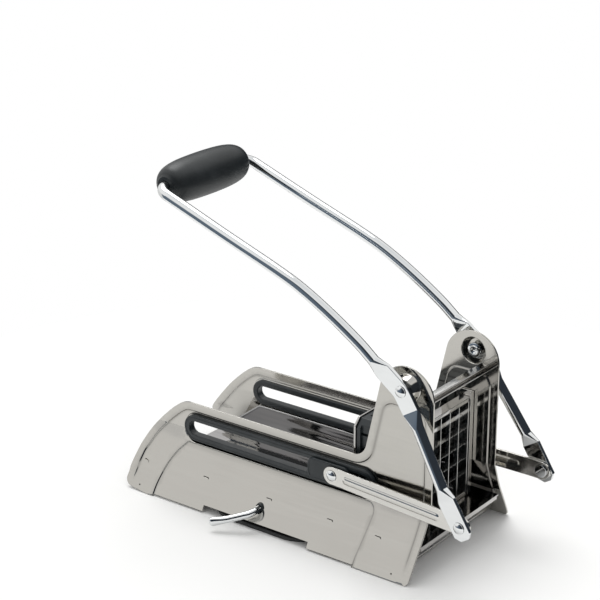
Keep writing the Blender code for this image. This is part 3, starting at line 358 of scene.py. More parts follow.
def add_loft(work: bmesh.types.BMesh, rings: Sequence[Sequence[Vector]], looped: bool = False) -> None:
    """Add a skin over rings of equal count, capped at both ends unless looped.

    Args:
        work: Where the skin goes.
        rings: Rings of points in order.
        looped: Whether the last ring joins the first.
    """
    rows = [[work.verts.new(point) for point in ring] for ring in rings]
    pairs = list(zip(rows, rows[1:]))
    if looped:
        pairs.append((rows[-1], rows[0]))
    for first, second in pairs:
        for index in range(len(first)):
            onward = (index + 1) % len(first)
            work.faces.new((first[index], first[onward], second[onward], second[index]))
    if not looped:
        work.faces.new(rows[0][::-1])
        work.faces.new(rows[-1])


def tidied(work: bmesh.types.BMesh) -> bmesh.types.BMesh:
    """Weld doubled points and turn all faces outwards.

    Args:
        work: Geometry to tidy, in place.

    Returns:
        The same geometry.
    """
    bmesh.ops.remove_doubles(work, verts=work.verts, dist=WELD_DISTANCE)
    bmesh.ops.dissolve_degenerate(work, edges=work.edges, dist=WELD_DISTANCE)
    bmesh.ops.recalc_face_normals(work, faces=work.faces)
    return work


def smoothed(item: bpy.types.Object, angle: float = 32.0) -> bpy.types.Object:
    """Shade smooth, with edges sharper than an angle kept, and flat faces kept flat.

    Args:
        item: A mesh object with no modifiers of its own.
        angle: Least angle of an edge that stays sharp, in degrees.

    Returns:
        The same object.
    """
    mesh = item.data
    for polygon in mesh.polygons:
        polygon.use_smooth = True
    mesh.set_sharp_from_angle(angle=math.radians(angle))
    weighted = item.modifiers.new("weighted_normals", "WEIGHTED_NORMAL")
    weighted.keep_sharp = True
    weighted.weight = FACE_WEIGHT
    return applied(item)


def applied(item: bpy.types.Object) -> bpy.types.Object:
    """Turn an object's modifiers into its mesh.

    Args:
        item: Any mesh object.

    Returns:
        The same object without modifiers.
    """
    graph = bpy.context.evaluated_depsgraph_get()
    graph.update()
    mesh = bpy.data.meshes.new_from_object(item.evaluated_get(graph))
    item.modifiers.clear()
    old = item.data
    item.data = mesh
    bpy.data.meshes.remove(old)
    return item


def mirrored(item: bpy.types.Object, name: str) -> bpy.types.Object:
    """The far-side copy of a near-side piece.

    Args:
        item: Piece drawn at minus Y.
        name: Name of the copy.

    Returns:
        The copy.
    """
    work = bmesh.new()
    work.from_mesh(item.data)
    bmesh.ops.scale(work, vec=(1.0, -1.0, 1.0), verts=work.verts)
    bmesh.ops.reverse_faces(work, faces=work.faces)
    return smoothed(mesh_object(name, work))


def turned(name: str, profile: Sequence[Point], centre: Vector, steps: int = 64) -> bpy.types.Object:
    """A piece turned about a line along Y.

    Args:
        name: Name of the piece.
        profile: Closed section as (Y from the centre, radius) points.
        centre: A point on the axis.
        steps: Points round the axis.

    Returns:
        The new object.
    """
    rings = []
    for step in range(steps):
        angle = 2 * math.pi * step / steps
        out = Vector((math.cos(angle), 0.0, math.sin(angle)))
        rings.append([centre + out * radius + Vector((0.0, along, 0.0)) for along, radius in profile])
    work = bmesh.new()
    add_loft(work, rings, looped=True)
    return smoothed(mesh_object(name, tidied(work)))


@dataclass
class PressedSheet:
    """Sheet of even thickness, cut to an outline and pressed to a given face.

    Attributes:
        outline: Closed side outline in (X, Z).
        holes: Closed outlines cut out of it.
        lines: Closed lines that the mesh follows, such as the edges of shoulders.
        spacing: Distance between inner points.
        thickness: Gauge of the sheet.
        face: Half width of the outer face at an array of (X, Z) points.
        edge: Rounding of the outer cut edge.
        hole_edge: Rounding of the holes' edges.
        edge_share: Share of the rounding at which its middle ring lies.
        painted_shade: Share of painted shade at an array of (X, Z) points, which darkens the colour there.
        gleam: Face whose slopes turn the normals, where it isn't the same as the face.
        crease: Height of a sharp crease right across the sheet.
        crease_reach: How near to the crease a point counts as lying on it.
        crease_beyond: How far above and below the crease its two normals are taken.
        slope_reach: Half the distance over which slopes are measured.
        guard: Least distance of an inner point to a line, as a share of the spacing.
        lean_limit: Most by which a leaning sheet is thickened sideways, as a factor.
        merge: Points nearer to each other than this are one in the flat mesh.
        least_area: Twice the area under which a triangle is left out.
    """

    outline: Outline
    holes: list[Outline]
    lines: list[Outline]
    spacing: float
    thickness: float
    face: Callable[[np.ndarray], np.ndarray]
    edge: float = 0.00022
    hole_edge: float = 0.00006
    edge_share: float = 0.3
    painted_shade: Optional[Callable[[np.ndarray], np.ndarray]] = None
    gleam: Optional[Callable[[np.ndarray], np.ndarray]] = None
    crease: float = -1.0
    crease_reach: float = 0.00002
    crease_beyond: float = 0.0004
    slope_reach: float = 0.00015
    guard: float = 0.4
    lean_limit: float = 1.4
    merge: float = 0.0000005
    least_area: float = 1e-12

    def points(self) -> tuple[list[Vector], list[tuple[int, int]]]:
        """Points and fixed edges of the flat mesh.

        Returns:
            The points, and pairs of their numbers.
        """
        places: list[Vector] = []
        edges: list[tuple[int, int]] = []
        step = self.spacing
        for line in [self.outline, *self.holes, *self.lines]:
            fine = resampled(line, step)
            first = len(places)
            places.extend(Vector(point) for point in fine)
            count = len(fine)
            edges.extend((first + index, first + (index + 1) % count) for index in range(count))
        low = np.array(self.outline).min(0)
        high = np.array(self.outline).max(0)
        columns = np.arange(low[0] + step / 2, high[0], step)
        rows = np.arange(low[1] + step / 2, high[1], step)
        grid = np.array([(x, z) for z in rows for x in columns])
        keep = signed_distance(grid, self.outline) < -self.guard * step
        for line in [*self.holes, *self.lines]:
            keep &= np.abs(signed_distance(grid, line)) > self.guard * step
        places.extend(Vector(point) for point in grid[keep])
        return places, edges

    def flat_mesh(self) -> tuple[np.ndarray, list[tuple[int, ...]]]:
        """Triangles of the flat sheet, turned anticlockwise in (X, Z).

        Returns:
            The points, and the kept triangles as their numbers.
        """
        places, edges = self.points()
        flat, _, faces, *_ = delaunay_2d_cdt(places, edges, [], 0, self.merge)
        spots = np.array([tuple(v) for v in flat])
        middles = np.array([spots[list(face)].mean(0) for face in faces])
        keep = signed_distance(middles, self.outline) < 0.0
        for hole in self.holes:
            keep &= signed_distance(middles, hole) > 0.0
        kept = []
        for face, wanted in zip(faces, keep):
            one, two, three = (spots[index] for index in face)
            area = (two[0] - one[0]) * (three[1] - one[1]) - (two[1] - one[1]) * (three[0] - one[0])
            if wanted and abs(area) > self.least_area:
                kept.append(tuple(face) if area > 0.0 else tuple(face[::-1]))
        return spots, kept

    @staticmethod
    def rim(spots: np.ndarray, faces: list[tuple[int, ...]]) -> tuple[list[tuple[int, int]], np.ndarray]:
        """Open edges of the flat sheet and the outward direction at each point.

        Args:
            spots: Points of the sheet.
            faces: Its triangles.

        Returns:
            Directed open edges, and one direction for each point, zero away from the rim.
        """
        least_run, least_length, least_sum = 1e-12, 1e-9, 1e-6
        sides = {(face[i], face[(i + 1) % 3]) for face in faces for i in range(3)}
        rim = [side for side in sides if side[::-1] not in sides]
        outward = np.zeros_like(spots)
        for first, second in sorted(rim):
            run = spots[second] - spots[first]
            away = np.array((run[1], -run[0])) / max(np.linalg.norm(run), least_run)
            outward[first] += away
            outward[second] += away
        length = np.linalg.norm(outward, axis=1, keepdims=True)
        return sorted(rim), outward / np.maximum(length, least_length) * (length > least_sum)

    def facing(self, spots: np.ndarray, side: Side) -> np.ndarray:
        """Normals of the outer face.

        Args:
            spots: Array of (X, Z) places.
            side: Side that the sheet is made for.

        Returns:
            One unit vector for each place.
        """
        reach = self.slope_reach
        height = self.gleam or self.face
        along, upward = ((height(spots + step) - height(spots - step)) / (2 * reach)
                         for step in ((reach, 0.0), (0.0, reach)))
        turned_to = np.column_stack([-along, np.full(len(spots), side.value), -upward])
        return turned_to / np.linalg.norm(turned_to, axis=1, keepdims=True)

    def build(self, name: str, side: Side) -> bpy.types.Object:
        """Make the piece for one side, with rounded cut edges and the pressed face's own normals.

        Args:
            name: Name of the piece.
            side: Side that it is made for.

        Returns:
            The new object.
        """
        on_outline = 0.00001
        spots, faces = self.flat_mesh()
        rim, outward = self.rim(spots, faces)
        facing = self.facing(spots, side)
        creased = np.abs(spots[:, 1] - self.crease) < self.crease_reach
        shifts = (-self.crease_beyond, self.crease_beyond)
        beyond = [self.facing(spots + (0.0, shift), side) for shift in shifts]
        outer = self.face(spots)
        inner = outer - self.thickness * np.minimum(1.0 / np.abs(facing[:, 1]), self.lean_limit)
        at_outline = np.abs(signed_distance(spots, self.outline)) < on_outline
        edge = np.where(at_outline, self.edge, self.hole_edge)
        soft = self.edge_share * edge
        none = np.zeros(len(spots))
        across = np.column_stack([outward[:, 0], none, outward[:, 1]])
        levels = (
            (outer, edge, facing), (outer - soft, soft, facing + across), (outer - edge, none, across),
            (inner + edge, none, across), (inner, edge, -facing),
        )
        work = bmesh.new()
        # Painted shade: one share for each point, kept as a mesh attribute that darkens the colour.
        shade_mask = self.painted_shade(spots) if self.painted_shade else np.zeros(len(spots))
        layers, normals, shares = [], [], []
        split: dict[int, tuple[Vector, Vector]] = {}
        used = {index for face in faces for index in face}
        for level, (width, inset, turned_to) in enumerate(levels):
            moved = spots - outward * inset[:, None]
            is_face = level in (0, len(levels) - 1)
            wanted = used if is_face else {index for run in rim for index in run}
            layer = {}
            for index in sorted(wanted):
                x, z = moved[index]
                layer[index] = work.verts.new((x, side.value * width[index], z))
                if creased[index] and is_face:
                    turn = 1.0 if level == 0 else -1.0
                    split[len(normals)] = tuple(Vector(normal[index]) * turn for normal in beyond)
                normals.append(Vector(turned_to[index]).normalized())
                shares.append(float(shade_mask[index]))
            layers.append(layer)
        flip = -1 if side is Side.FAR else 1
        for face in faces:
            work.faces.new([layers[0][index] for index in face][::flip])
            work.faces.new([layers[-1][index] for index in face][::-flip])
        for first, second in rim:
            for upper, lower in zip(layers, layers[1:]):
                work.faces.new([upper[second], upper[first], lower[first], lower[second]][::flip])
        made = mesh_object(name, work)
        corners = []
        for polygon in made.data.polygons:
            polygon.use_smooth = True
            upper = polygon.center.z > self.crease
            for index in polygon.vertices:
                corners.append(split[index][upper] if index in split else normals[index])
        made.data.normals_split_custom_set(corners)
        made.data.attributes.new(SHADE_ATTRIBUTE, "FLOAT", "POINT").data.foreach_set("value", shares)
        return made


# Node trees


class Sketch:
    """Short way to add and join nodes in one tree."""

    def __init__(self, tree: bpy.types.NodeTree) -> None:
        """Keep the tree that nodes go into."""
        self.tree = tree

    def node(self, kind: str, **sockets: object) -> bpy.types.Node:
        """Add a node and fill its inputs.

        Args:
            kind: Blender's name of the node's type.
            sockets: Input names, with underscores for spaces, and values or output sockets.

        Returns:
            The new node.
        """
        made = self.tree.nodes.new(kind)
        for name, value in sockets.items():
            self.feed(made.inputs[name.replace("_", " ")], value)
        return made

    def feed(self, socket: bpy.types.NodeSocket, value: object) -> None:
        """Link an output to a socket, or set its value."""
        if isinstance(value, bpy.types.NodeSocket):
            self.tree.links.new(value, socket)
        else:
            socket.default_value = value

    def maths(self, operation: str, first: object, second: object = 0.0) -> bpy.types.NodeSocket:
        """A Math node.

        Args:
            operation: Its operation.
            first: First value or socket.
            second: Second value or socket.

        Returns:
            Its output.
        """
        made = self.tree.nodes.new("ShaderNodeMath")
        made.operation = operation
        self.feed(made.inputs[0], first)
        self.feed(made.inputs[1], second)
        return made.outputs[0]

    def ranged(self, value: object, limits: Point, results: Point = (0.0, 1.0)) -> bpy.types.NodeSocket:
        """A value moved smoothly from one range to another.

        Args:
            value: The value.
            limits: Start and end of its range.
            results: Results at the start and at the end.

        Returns:
            The result.
        """
        made = self.tree.nodes.new("ShaderNodeMapRange")
        made.interpolation_type = "SMOOTHSTEP"
        for socket, number in zip(made.inputs, (value, *limits, *results)):
            self.feed(socket, number)
        return made.outputs[0]

    def mixed(self, share: object, first: object, second: object) -> bpy.types.NodeSocket:
        """A mix of two colours.

        Args:
            share: Share of the second.
            first: First colour or socket.
            second: Second colour or socket.

        Returns:
            The mixed colour.
        """
        made = self.tree.nodes.new("ShaderNodeMix")
        made.data_type = "RGBA"
        self.feed(made.inputs["Factor"], share)
        self.feed(made.inputs["A"], first)
        self.feed(made.inputs["B"], second)
        return made.outputs["Result"]


def new_group(name: str, inputs: Sequence[tuple[str, float]], outputs: Sequence[str]) -> bpy.types.NodeTree:
    """An empty shader node group with named sockets.

    Args:
        name: Name of the group.
        inputs: Names and defaults of its values; a Vector input is added first.
        outputs: Names of the values that it puts out.

    Returns:
        The group's tree.
    """
    tree = bpy.data.node_groups.new(name, "ShaderNodeTree")
    tree.interface.new_socket("Vector", in_out="INPUT", socket_type="NodeSocketVector")
    for label, default in inputs:
        made = tree.interface.new_socket(label, in_out="INPUT", socket_type="NodeSocketFloat")
        made.default_value = default
    for label in outputs:
        tree.interface.new_socket(label, in_out="OUTPUT", socket_type="NodeSocketFloat")
    return tree


class Effects:
    """Shared surface effects as node groups, each built once.

    Attributes:
        tone_share: Share that fine and broad lines each have in the tone.
        broad_scale: Scale of the broad lines, as a share of the fine ones'.
        band_length: How much the bands are stretched along X.
        wave_scale: Scale of the waves, as a share of the smudges'.
        dust_scale: Scale of the dust, as a share of the skin's.
        smudge_range: Values of the noise between which smudges come in.
        dust_range: Values of the noise between which dust comes in.
    """

    tone_share: float = 0.5
    broad_scale: float = 0.12
    band_length: float = 0.06
    wave_scale: float = 0.9
    dust_scale: float = 0.03
    smudge_range: Point = (0.42, 0.68)
    dust_range: Point = (0.45, 0.75)

    def __init__(self) -> None:
        """Build the groups."""
        self.rolling = self.rolling_lines()
        self.handling = self.handling_marks()
        self.mould = self.mould_skin()
        self.bands = self.drawn_bands()

    def rolling_lines(self) -> bpy.types.NodeTree:
        """Fine lines that rolling and polishing leave along X.

        Returns:
            The group.
        """
        tree = new_group("rolling_lines", [("Scale", 400.0), ("Length", 0.05)], ["Height", "Tone"])
        draw = Sketch(tree)
        given = tree.nodes.new("NodeGroupInput")
        parts = draw.node("ShaderNodeSeparateXYZ", Vector=given.outputs["Vector"])
        along = draw.maths("MULTIPLY", parts.outputs["X"], given.outputs["Length"])
        place = draw.node("ShaderNodeCombineXYZ", X=along, Y=parts.outputs["Y"], Z=parts.outputs["Z"])
        fine = draw.node("ShaderNodeTexNoise", Vector=place.outputs[0],
                         Scale=given.outputs["Scale"], Detail=3.0)
        wider = draw.maths("MULTIPLY", given.outputs["Scale"], self.broad_scale)
        broad = draw.node("ShaderNodeTexNoise", Vector=place.outputs[0], Scale=wider, Detail=2.0)
        leave = tree.nodes.new("NodeGroupOutput")
        draw.feed(leave.inputs["Height"], fine.outputs["Fac"])
        halves = [draw.maths("MULTIPLY", lines.outputs["Fac"], self.tone_share) for lines in (fine, broad)]
        draw.feed(leave.inputs["Tone"], draw.maths("ADD", *halves))
        return tree

    def drawn_bands(self) -> bpy.types.NodeTree:
        """Broad smooth bands that drawing leaves along X.

        Returns:
            The group.
        """
        tree = new_group("drawn_bands", [("Scale", 60.0)], ["Height"])
        draw = Sketch(tree)
        given = tree.nodes.new("NodeGroupInput")
        parts = draw.node("ShaderNodeSeparateXYZ", Vector=given.outputs["Vector"])
        along = draw.maths("MULTIPLY", parts.outputs["X"], self.band_length)
        place = draw.node("ShaderNodeCombineXYZ", X=along, Y=parts.outputs["Y"], Z=parts.outputs["Z"])
        noise = draw.node("ShaderNodeTexNoise", Vector=place.outputs[0],
                          Scale=given.outputs["Scale"], Detail=1.0)
        leave = tree.nodes.new("NodeGroupOutput")
        draw.feed(leave.inputs["Height"], noise.outputs["Fac"])
        return tree

    def handling_marks(self) -> bpy.types.NodeTree:
        """Soft smudges from handling and the slight waves of pressed sheet.

        Returns:
            The group.
        """
        tree = new_group("handling_marks", [("Scale", 18.0), ("Spread", 0.5)], ["Smudge", "Wave"])
        draw = Sketch(tree)
        given = tree.nodes.new("NodeGroupInput")
        broad = draw.node("ShaderNodeTexNoise", Vector=given.outputs["Vector"],
                          Scale=given.outputs["Scale"], Detail=4.0, Roughness=given.outputs["Spread"])
        slow = draw.maths("MULTIPLY", given.outputs["Scale"], self.wave_scale)
        wave = draw.node("ShaderNodeTexNoise", Vector=given.outputs["Vector"], Scale=slow, Detail=0.0)
        leave = tree.nodes.new("NodeGroupOutput")
        draw.feed(leave.inputs["Smudge"], draw.ranged(broad.outputs["Fac"], self.smudge_range))
        draw.feed(leave.inputs["Wave"], wave.outputs["Fac"])
        return tree

    def mould_skin(self) -> bpy.types.NodeTree:
        """Fine spark-eroded skin of moulded plastic and rubber.

        Returns:
            The group.
        """
        tree = new_group("mould_skin", [("Scale", 2200.0)], ["Height", "Dust"])
        draw = Sketch(tree)
        given = tree.nodes.new("NodeGroupInput")
        cells = draw.node("ShaderNodeTexVoronoi", Vector=given.outputs["Vector"],
                          Scale=given.outputs["Scale"])
        grit = draw.node("ShaderNodeTexNoise", Vector=given.outputs["Vector"],
                         Scale=given.outputs["Scale"], Detail=2.0)
        slow = draw.maths("MULTIPLY", given.outputs["Scale"], self.dust_scale)
        dust = draw.node("ShaderNodeTexNoise", Vector=given.outputs["Vector"], Scale=slow, Detail=5.0)
        leave = tree.nodes.new("NodeGroupOutput")
        height = draw.maths("ADD", cells.outputs["Distance"], grit.outputs["Fac"])
        draw.feed(leave.inputs["Height"], height)
        draw.feed(leave.inputs["Dust"], draw.ranged(dust.outputs["Fac"], self.dust_range))
        return tree


def placed_group(draw: Sketch, group: bpy.types.NodeTree, **sockets: object) -> bpy.types.Node:
    """Place a group that reads the piece's own coordinates.

    Args:
        draw: Tree that it goes into.
        group: The group.
        sockets: Values of its inputs.

    Returns:
        The group node.
    """
    made = draw.tree.nodes.new("ShaderNodeGroup")
    made.node_tree = group
    own = draw.tree.nodes.new("ShaderNodeTexCoord")
    draw.feed(made.inputs["Vector"], own.outputs["Object"])
    for name, value in sockets.items():
        draw.feed(made.inputs[name], value)
    return made


def bare_material(name: str) -> tuple[bpy.types.Material, Sketch, bpy.types.Node]:
    """A new material with its Principled shader.

    Args:
        name: Name of the material.

    Returns:
        The material, its sketch and the shader node.
    """
    made = bpy.data.materials.new(name)
    made.use_nodes = True
    return made, Sketch(made.node_tree), made.node_tree.nodes["Principled BSDF"]


@dataclass(frozen=True)
class MetalFinish:
    """Rolled, stamped or plated metal.

    Attributes:
        name: Name of the material.
        slot: Slot of the record that it belongs to. Not used.
        colour: Colour of clean metal.
        shade: Colour in the darker marks.
        roughness: Roughness of clean metal.
        dulling: Roughness that smudges add.
        line_scale: How close the rolling lines lie.
        line_depth: Depth of the lines, in metres.
        wave_depth: Depth of the slow waves, in metres.
        band_depth: Depth of the broad bands drawn along X, in metres.
        band_scale: How close the bands lie.
        tone_range: Values of the lines' tone between which the shade comes in.
        smudge_share: Share of the shade that only smudges bring in.
        painted_shade_share: Brightness of the painted shade in the pressed shoulders, as a share of the
            shade colour.
    """

    name: str
    slot: Slot
    colour: Colour
    shade: Colour
    roughness: float
    dulling: float
    line_scale: float = 420.0
    line_depth: float = 0.000004
    wave_depth: float = 0.00002
    band_depth: float = 0.0
    band_scale: float = 60.0
    tone_range: Point = (0.35, 0.65)
    smudge_share: float = 0.5
    painted_shade_share: float = 0.45

    def make(self, effects: Effects) -> bpy.types.Material:
        """Build the material.

        Args:
            effects: Shared node groups.

        Returns:
            The material.
        """
        made, draw, shader = bare_material(self.name)
        lines = placed_group(draw, effects.rolling, Scale=self.line_scale)
        marks = placed_group(draw, effects.handling)
        tone = draw.ranged(lines.outputs["Tone"], self.tone_range)
        smudged = draw.maths("MULTIPLY", marks.outputs["Smudge"], self.smudge_share)
        share = draw.maths("MULTIPLY", tone, draw.maths("ADD", smudged, 1.0 - self.smudge_share))
        clean = draw.mixed(share, (*self.colour, 1.0), (*self.shade, 1.0))
        # Painted shade: the colour darkens towards a share of the shade colour where the mesh attribute
        # marks the pressed shoulders.
        shade_mask = draw.tree.nodes.new("ShaderNodeAttribute")
        shade_mask.attribute_name = SHADE_ATTRIBUTE
        painted_dark = tuple(self.painted_shade_share * part for part in self.shade)
        draw.feed(shader.inputs["Base Color"], draw.mixed(shade_mask.outputs["Fac"], clean, (*painted_dark, 1.0)))
        rough = draw.maths("MULTIPLY", marks.outputs["Smudge"], self.dulling)
        draw.feed(shader.inputs["Roughness"], draw.maths("ADD", rough, self.roughness))
        shader.inputs["Metallic"].default_value = 1.0
        wave = draw.node("ShaderNodeBump", Height=marks.outputs["Wave"],
                         Distance=self.wave_depth, Strength=1.0)
        if self.band_depth > 0.0:
            bands = placed_group(draw, effects.bands, Scale=self.band_scale)
            draw.feed(wave.inputs["Height"], bands.outputs["Height"])
            wave.inputs["Distance"].default_value = self.band_depth
        fine = draw.node("ShaderNodeBump", Height=lines.outputs["Height"], Distance=self.line_depth,
                         Strength=1.0, Normal=wave.outputs["Normal"])
        draw.feed(shader.inputs["Normal"], fine.outputs["Normal"])
        return made


@dataclass(frozen=True)
class MouldedFinish:
    """Moulded black plastic or rubber.

    Attributes:
        name: Name of the material.
        slot: Slot of the record that it belongs to. Not used.
        colour: Colour of the clean skin.
        dusty: Colour where dust lies.
        roughness: Roughness of the clean skin.
        dulling: Roughness that smudges add.
        skin_scale: How fine the skin is.
        skin_depth: Depth of the skin, in metres.
    """

    name: str
    slot: Slot
    colour: Colour
    dusty: Colour
    roughness: float
    dulling: float = 0.08
    skin_scale: float = 2200.0
    skin_depth: float = 0.00001

    def make(self, effects: Effects) -> bpy.types.Material:
        """Build the material.

        Args:
            effects: Shared node groups.

        Returns:
            The material.
        """
        made, draw, shader = bare_material(self.name)
        skin = placed_group(draw, effects.mould, Scale=self.skin_scale)
        marks = placed_group(draw, effects.handling)
        dust = skin.outputs["Dust"]
        draw.feed(shader.inputs["Base Color"], draw.mixed(dust, (*self.colour, 1.0), (*self.dusty, 1.0)))
        rough = draw.maths("MULTIPLY", marks.outputs["Smudge"], self.dulling)
        draw.feed(shader.inputs["Roughness"], draw.maths("ADD", rough, self.roughness))
        bump = draw.node("ShaderNodeBump", Height=skin.outputs["Height"],
                         Distance=self.skin_depth, Strength=1.0)
        draw.feed(shader.inputs["Normal"], bump.outputs["Normal"])
        return made


Finish = MetalFinish | MouldedFinish

WALL_STEEL = MetalFinish(
    "wall_steel", Slot.STEEL, (0.50, 0.487, 0.457), (0.475, 0.462, 0.433), roughness=0.085, dulling=0.04,
)
ROD_STEEL = MetalFinish(
    "rod_steel", Slot.STEEL, (0.52, 0.51, 0.49), (0.45, 0.44, 0.42), roughness=0.26, dulling=0.10,
)
TRAY_STEEL = MetalFinish(
    "tray_steel", Slot.POLISHED, (0.50, 0.49, 0.475), (0.43, 0.42, 0.41), roughness=0.09, dulling=0.05,
)
TROUGH_STEEL = MetalFinish(
    "trough_steel", Slot.POLISHED, (0.38, 0.375, 0.375), (0.32, 0.32, 0.325), roughness=0.05, dulling=0.04,
    line_depth=0.000001, band_depth=0.0005, band_scale=110.0,
)
BLADE_STEEL = MetalFinish(
    "blade_steel", Slot.POLISHED, (0.62, 0.62, 0.61), (0.54, 0.54, 0.53), roughness=0.10, dulling=0.05,
    line_scale=900.0,
)
BRIGHT_CHROME = MetalFinish(
    "bright_chrome", Slot.CHROME, (0.77, 0.785, 0.79), (0.73, 0.745, 0.75), roughness=0.03, dulling=0.03,
    line_depth=0.0000005, wave_depth=0.000004,
)
LINK_CHROME = MetalFinish(
    "link_chrome", Slot.CHROME, (0.66, 0.65, 0.62), (0.62, 0.61, 0.58), roughness=0.12, dulling=0.05,
    line_depth=0.000002,
)
BLUE_BLACK = MouldedFinish(
    "blue_black_plastic", Slot.PLASTIC, (0.012, 0.017, 0.020), (0.024, 0.030, 0.033), roughness=0.34,
)
GRIP_BLACK = MouldedFinish(
    "grip_plastic", Slot.PLASTIC, (0.014, 0.018, 0.020), (0.026, 0.031, 0.034), roughness=0.38,
    skin_scale=1500.0, skin_depth=0.00002,
)
PAD_RUBBER = MouldedFinish(
    "pad_rubber", Slot.RUBBER, (0.014, 0.015, 0.016), (0.034, 0.035, 0.035), roughness=0.58,
    skin_scale=1200.0, skin_depth=0.00003,
)


class Dresser:
    """Gives each finished piece its material, its body and the nodes that it stands for.

    Attributes:
        join_distance: Points of a node nearer to each other than this are joined.
        flat_angle: Angle under which a node's faces count as one.
        edge_profile: Roundness of the broken edges.
        most_corners: Faces with more corners than this are cut into triangles.
    """

    join_distance: float = 0.000005
    flat_angle: float = math.radians(1.0)
    edge_profile: float = 0.6
    most_corners: int = 4

    def __init__(self, frame: dict) -> None:
        """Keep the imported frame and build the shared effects.
        """
        self.nodes = frame["nodes"]
        self.effects = Effects()
        self.made: dict[str, bpy.types.Material] = {}

    def material(self, finish: Finish) -> bpy.types.Material:
        """The material of a finish, built at its first use.

        Args:
            finish: The finish.

        Returns:
            Its material.
        """
        if finish.name not in self.made:
            self.made[finish.name] = finish.make(self.effects)
        return self.made[finish.name]

    def dress(self, item: bpy.types.Object, finish: Finish, body: Rides, *nodes: str) -> bpy.types.Object:
        """Finish a piece and tie it to the frame.

        Args:
            item: The piece, in place.
            finish: Its finish.
            body: Body that it moves with.
            nodes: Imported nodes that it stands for.

        Returns:
            The same piece.
        """
        item.data.materials.clear()
        item.data.materials.append(self.material(finish))
        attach(item, body.value)
        if nodes:
            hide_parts(*nodes)
        faces = len(item.data.polygons)
        log.info("%s: %s, rides on %s, %d faces", item.name, finish.name, body.value, faces)
        return item

    def softened(self, node: str, finish: Finish, body: Rides, width: float,
                 angle: float = 30.0, reach: float = 1.0) -> bpy.types.Object:
        """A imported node's shape with its edges broken.

        Args:
            node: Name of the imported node.
            finish: Its finish.
            body: Body that it moves with.
            width: Width of the broken edges.
            angle: Least angle of an edge that is broken, in degrees.
            reach: Largest half width kept.

        Returns:
            The new piece, which replaces the node.
        """
        work = bmesh.new()
        work.from_mesh(self.nodes[node].data)
        for vert in work.verts:
            vert.co.y = min(reach, max(-reach, vert.co.y))
        bmesh.ops.remove_doubles(work, verts=work.verts, dist=self.join_distance)
        bmesh.ops.dissolve_limit(work, angle_limit=self.flat_angle, verts=work.verts, edges=work.edges)
        sharp = [edge for edge in work.edges if len(edge.link_faces) == 2
                 and edge.calc_face_angle(0.0) > math.radians(angle)]
        bmesh.ops.bevel(work, geom=sharp, offset=width, segments=2, profile=self.edge_profile,
                        affect="EDGES", clamp_overlap=True)
        large = [face for face in work.faces if len(face.verts) > self.most_corners]
        bmesh.ops.triangulate(work, faces=large)
        made = smoothed(mesh_object(node + "_piece", work))
        return self.dress(made, finish, body, node)


# Shared places


@dataclass(frozen=True)
class Layout:
    """Places and sizes that several pieces share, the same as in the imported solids."""

    pivot_x: float = 0.1120
    pivot_z: float = 0.1306
    lower_pin_ahead: float = 0.0508
    lower_pin_z: float = 0.0497
    slider_pin_ahead: float = -0.0570
    slot_mid_z: float = 0.0525
    wall_y: float = 0.0412
    wall_thick: float = 0.0013
    gap: float = 0.0003
    boss_top_y: float = 0.0469
    seat_y: float = 0.0401
    liner_outer_y: float = 0.0432
    liner_inner_y: float = 0.0369
    slot_rear: float = -0.1917
    slot_front: float = -0.0240
    slot_half: float = 0.0100
    link_slider_y: float = 0.0456
    link_lever_y: float = 0.0510
    link_thick: float = 0.0016
    lower_plate_y: float = 0.0529
    lower_plate_thick: float = 0.0028
    upper_plate_thick: float = 0.0030
    shoe_thick: float = 0.0017

    def ahead(self, distance: float) -> float:
        """World X of a place measured from the pivot."""
        return self.pivot_x + distance

    def lower_pin(self) -> Point:
        """Centre of the pin at the lever's lower end, in (X, Z)."""
        return self.ahead(self.lower_pin_ahead), self.lower_pin_z

    def slider_pin(self) -> Point:
        """Centre of the pin on the shoe, in (X, Z)."""
        return self.ahead(self.slider_pin_ahead), self.slot_mid_z

    def pivot(self) -> Point:
        """Centre of the lever's pivot, in (X, Z)."""
        return self.pivot_x, self.pivot_z

    def slot_line(self, inset: float, steps: int = 20) -> Outline:
        """Slot outline shrunk by an inset from the liner's outer edge.

        Args:
            inset: How far in, negative for outwards.
            steps: Chords in each round end.

        Returns:
            The outline in (X, Z).
        """
        start = (self.ahead(self.slot_rear + self.slot_half), self.slot_mid_z)
        end = (self.ahead(self.slot_front - self.slot_half), self.slot_mid_z)
        return stadium(start, end, self.slot_half - inset, steps)


# Sub-assemblies


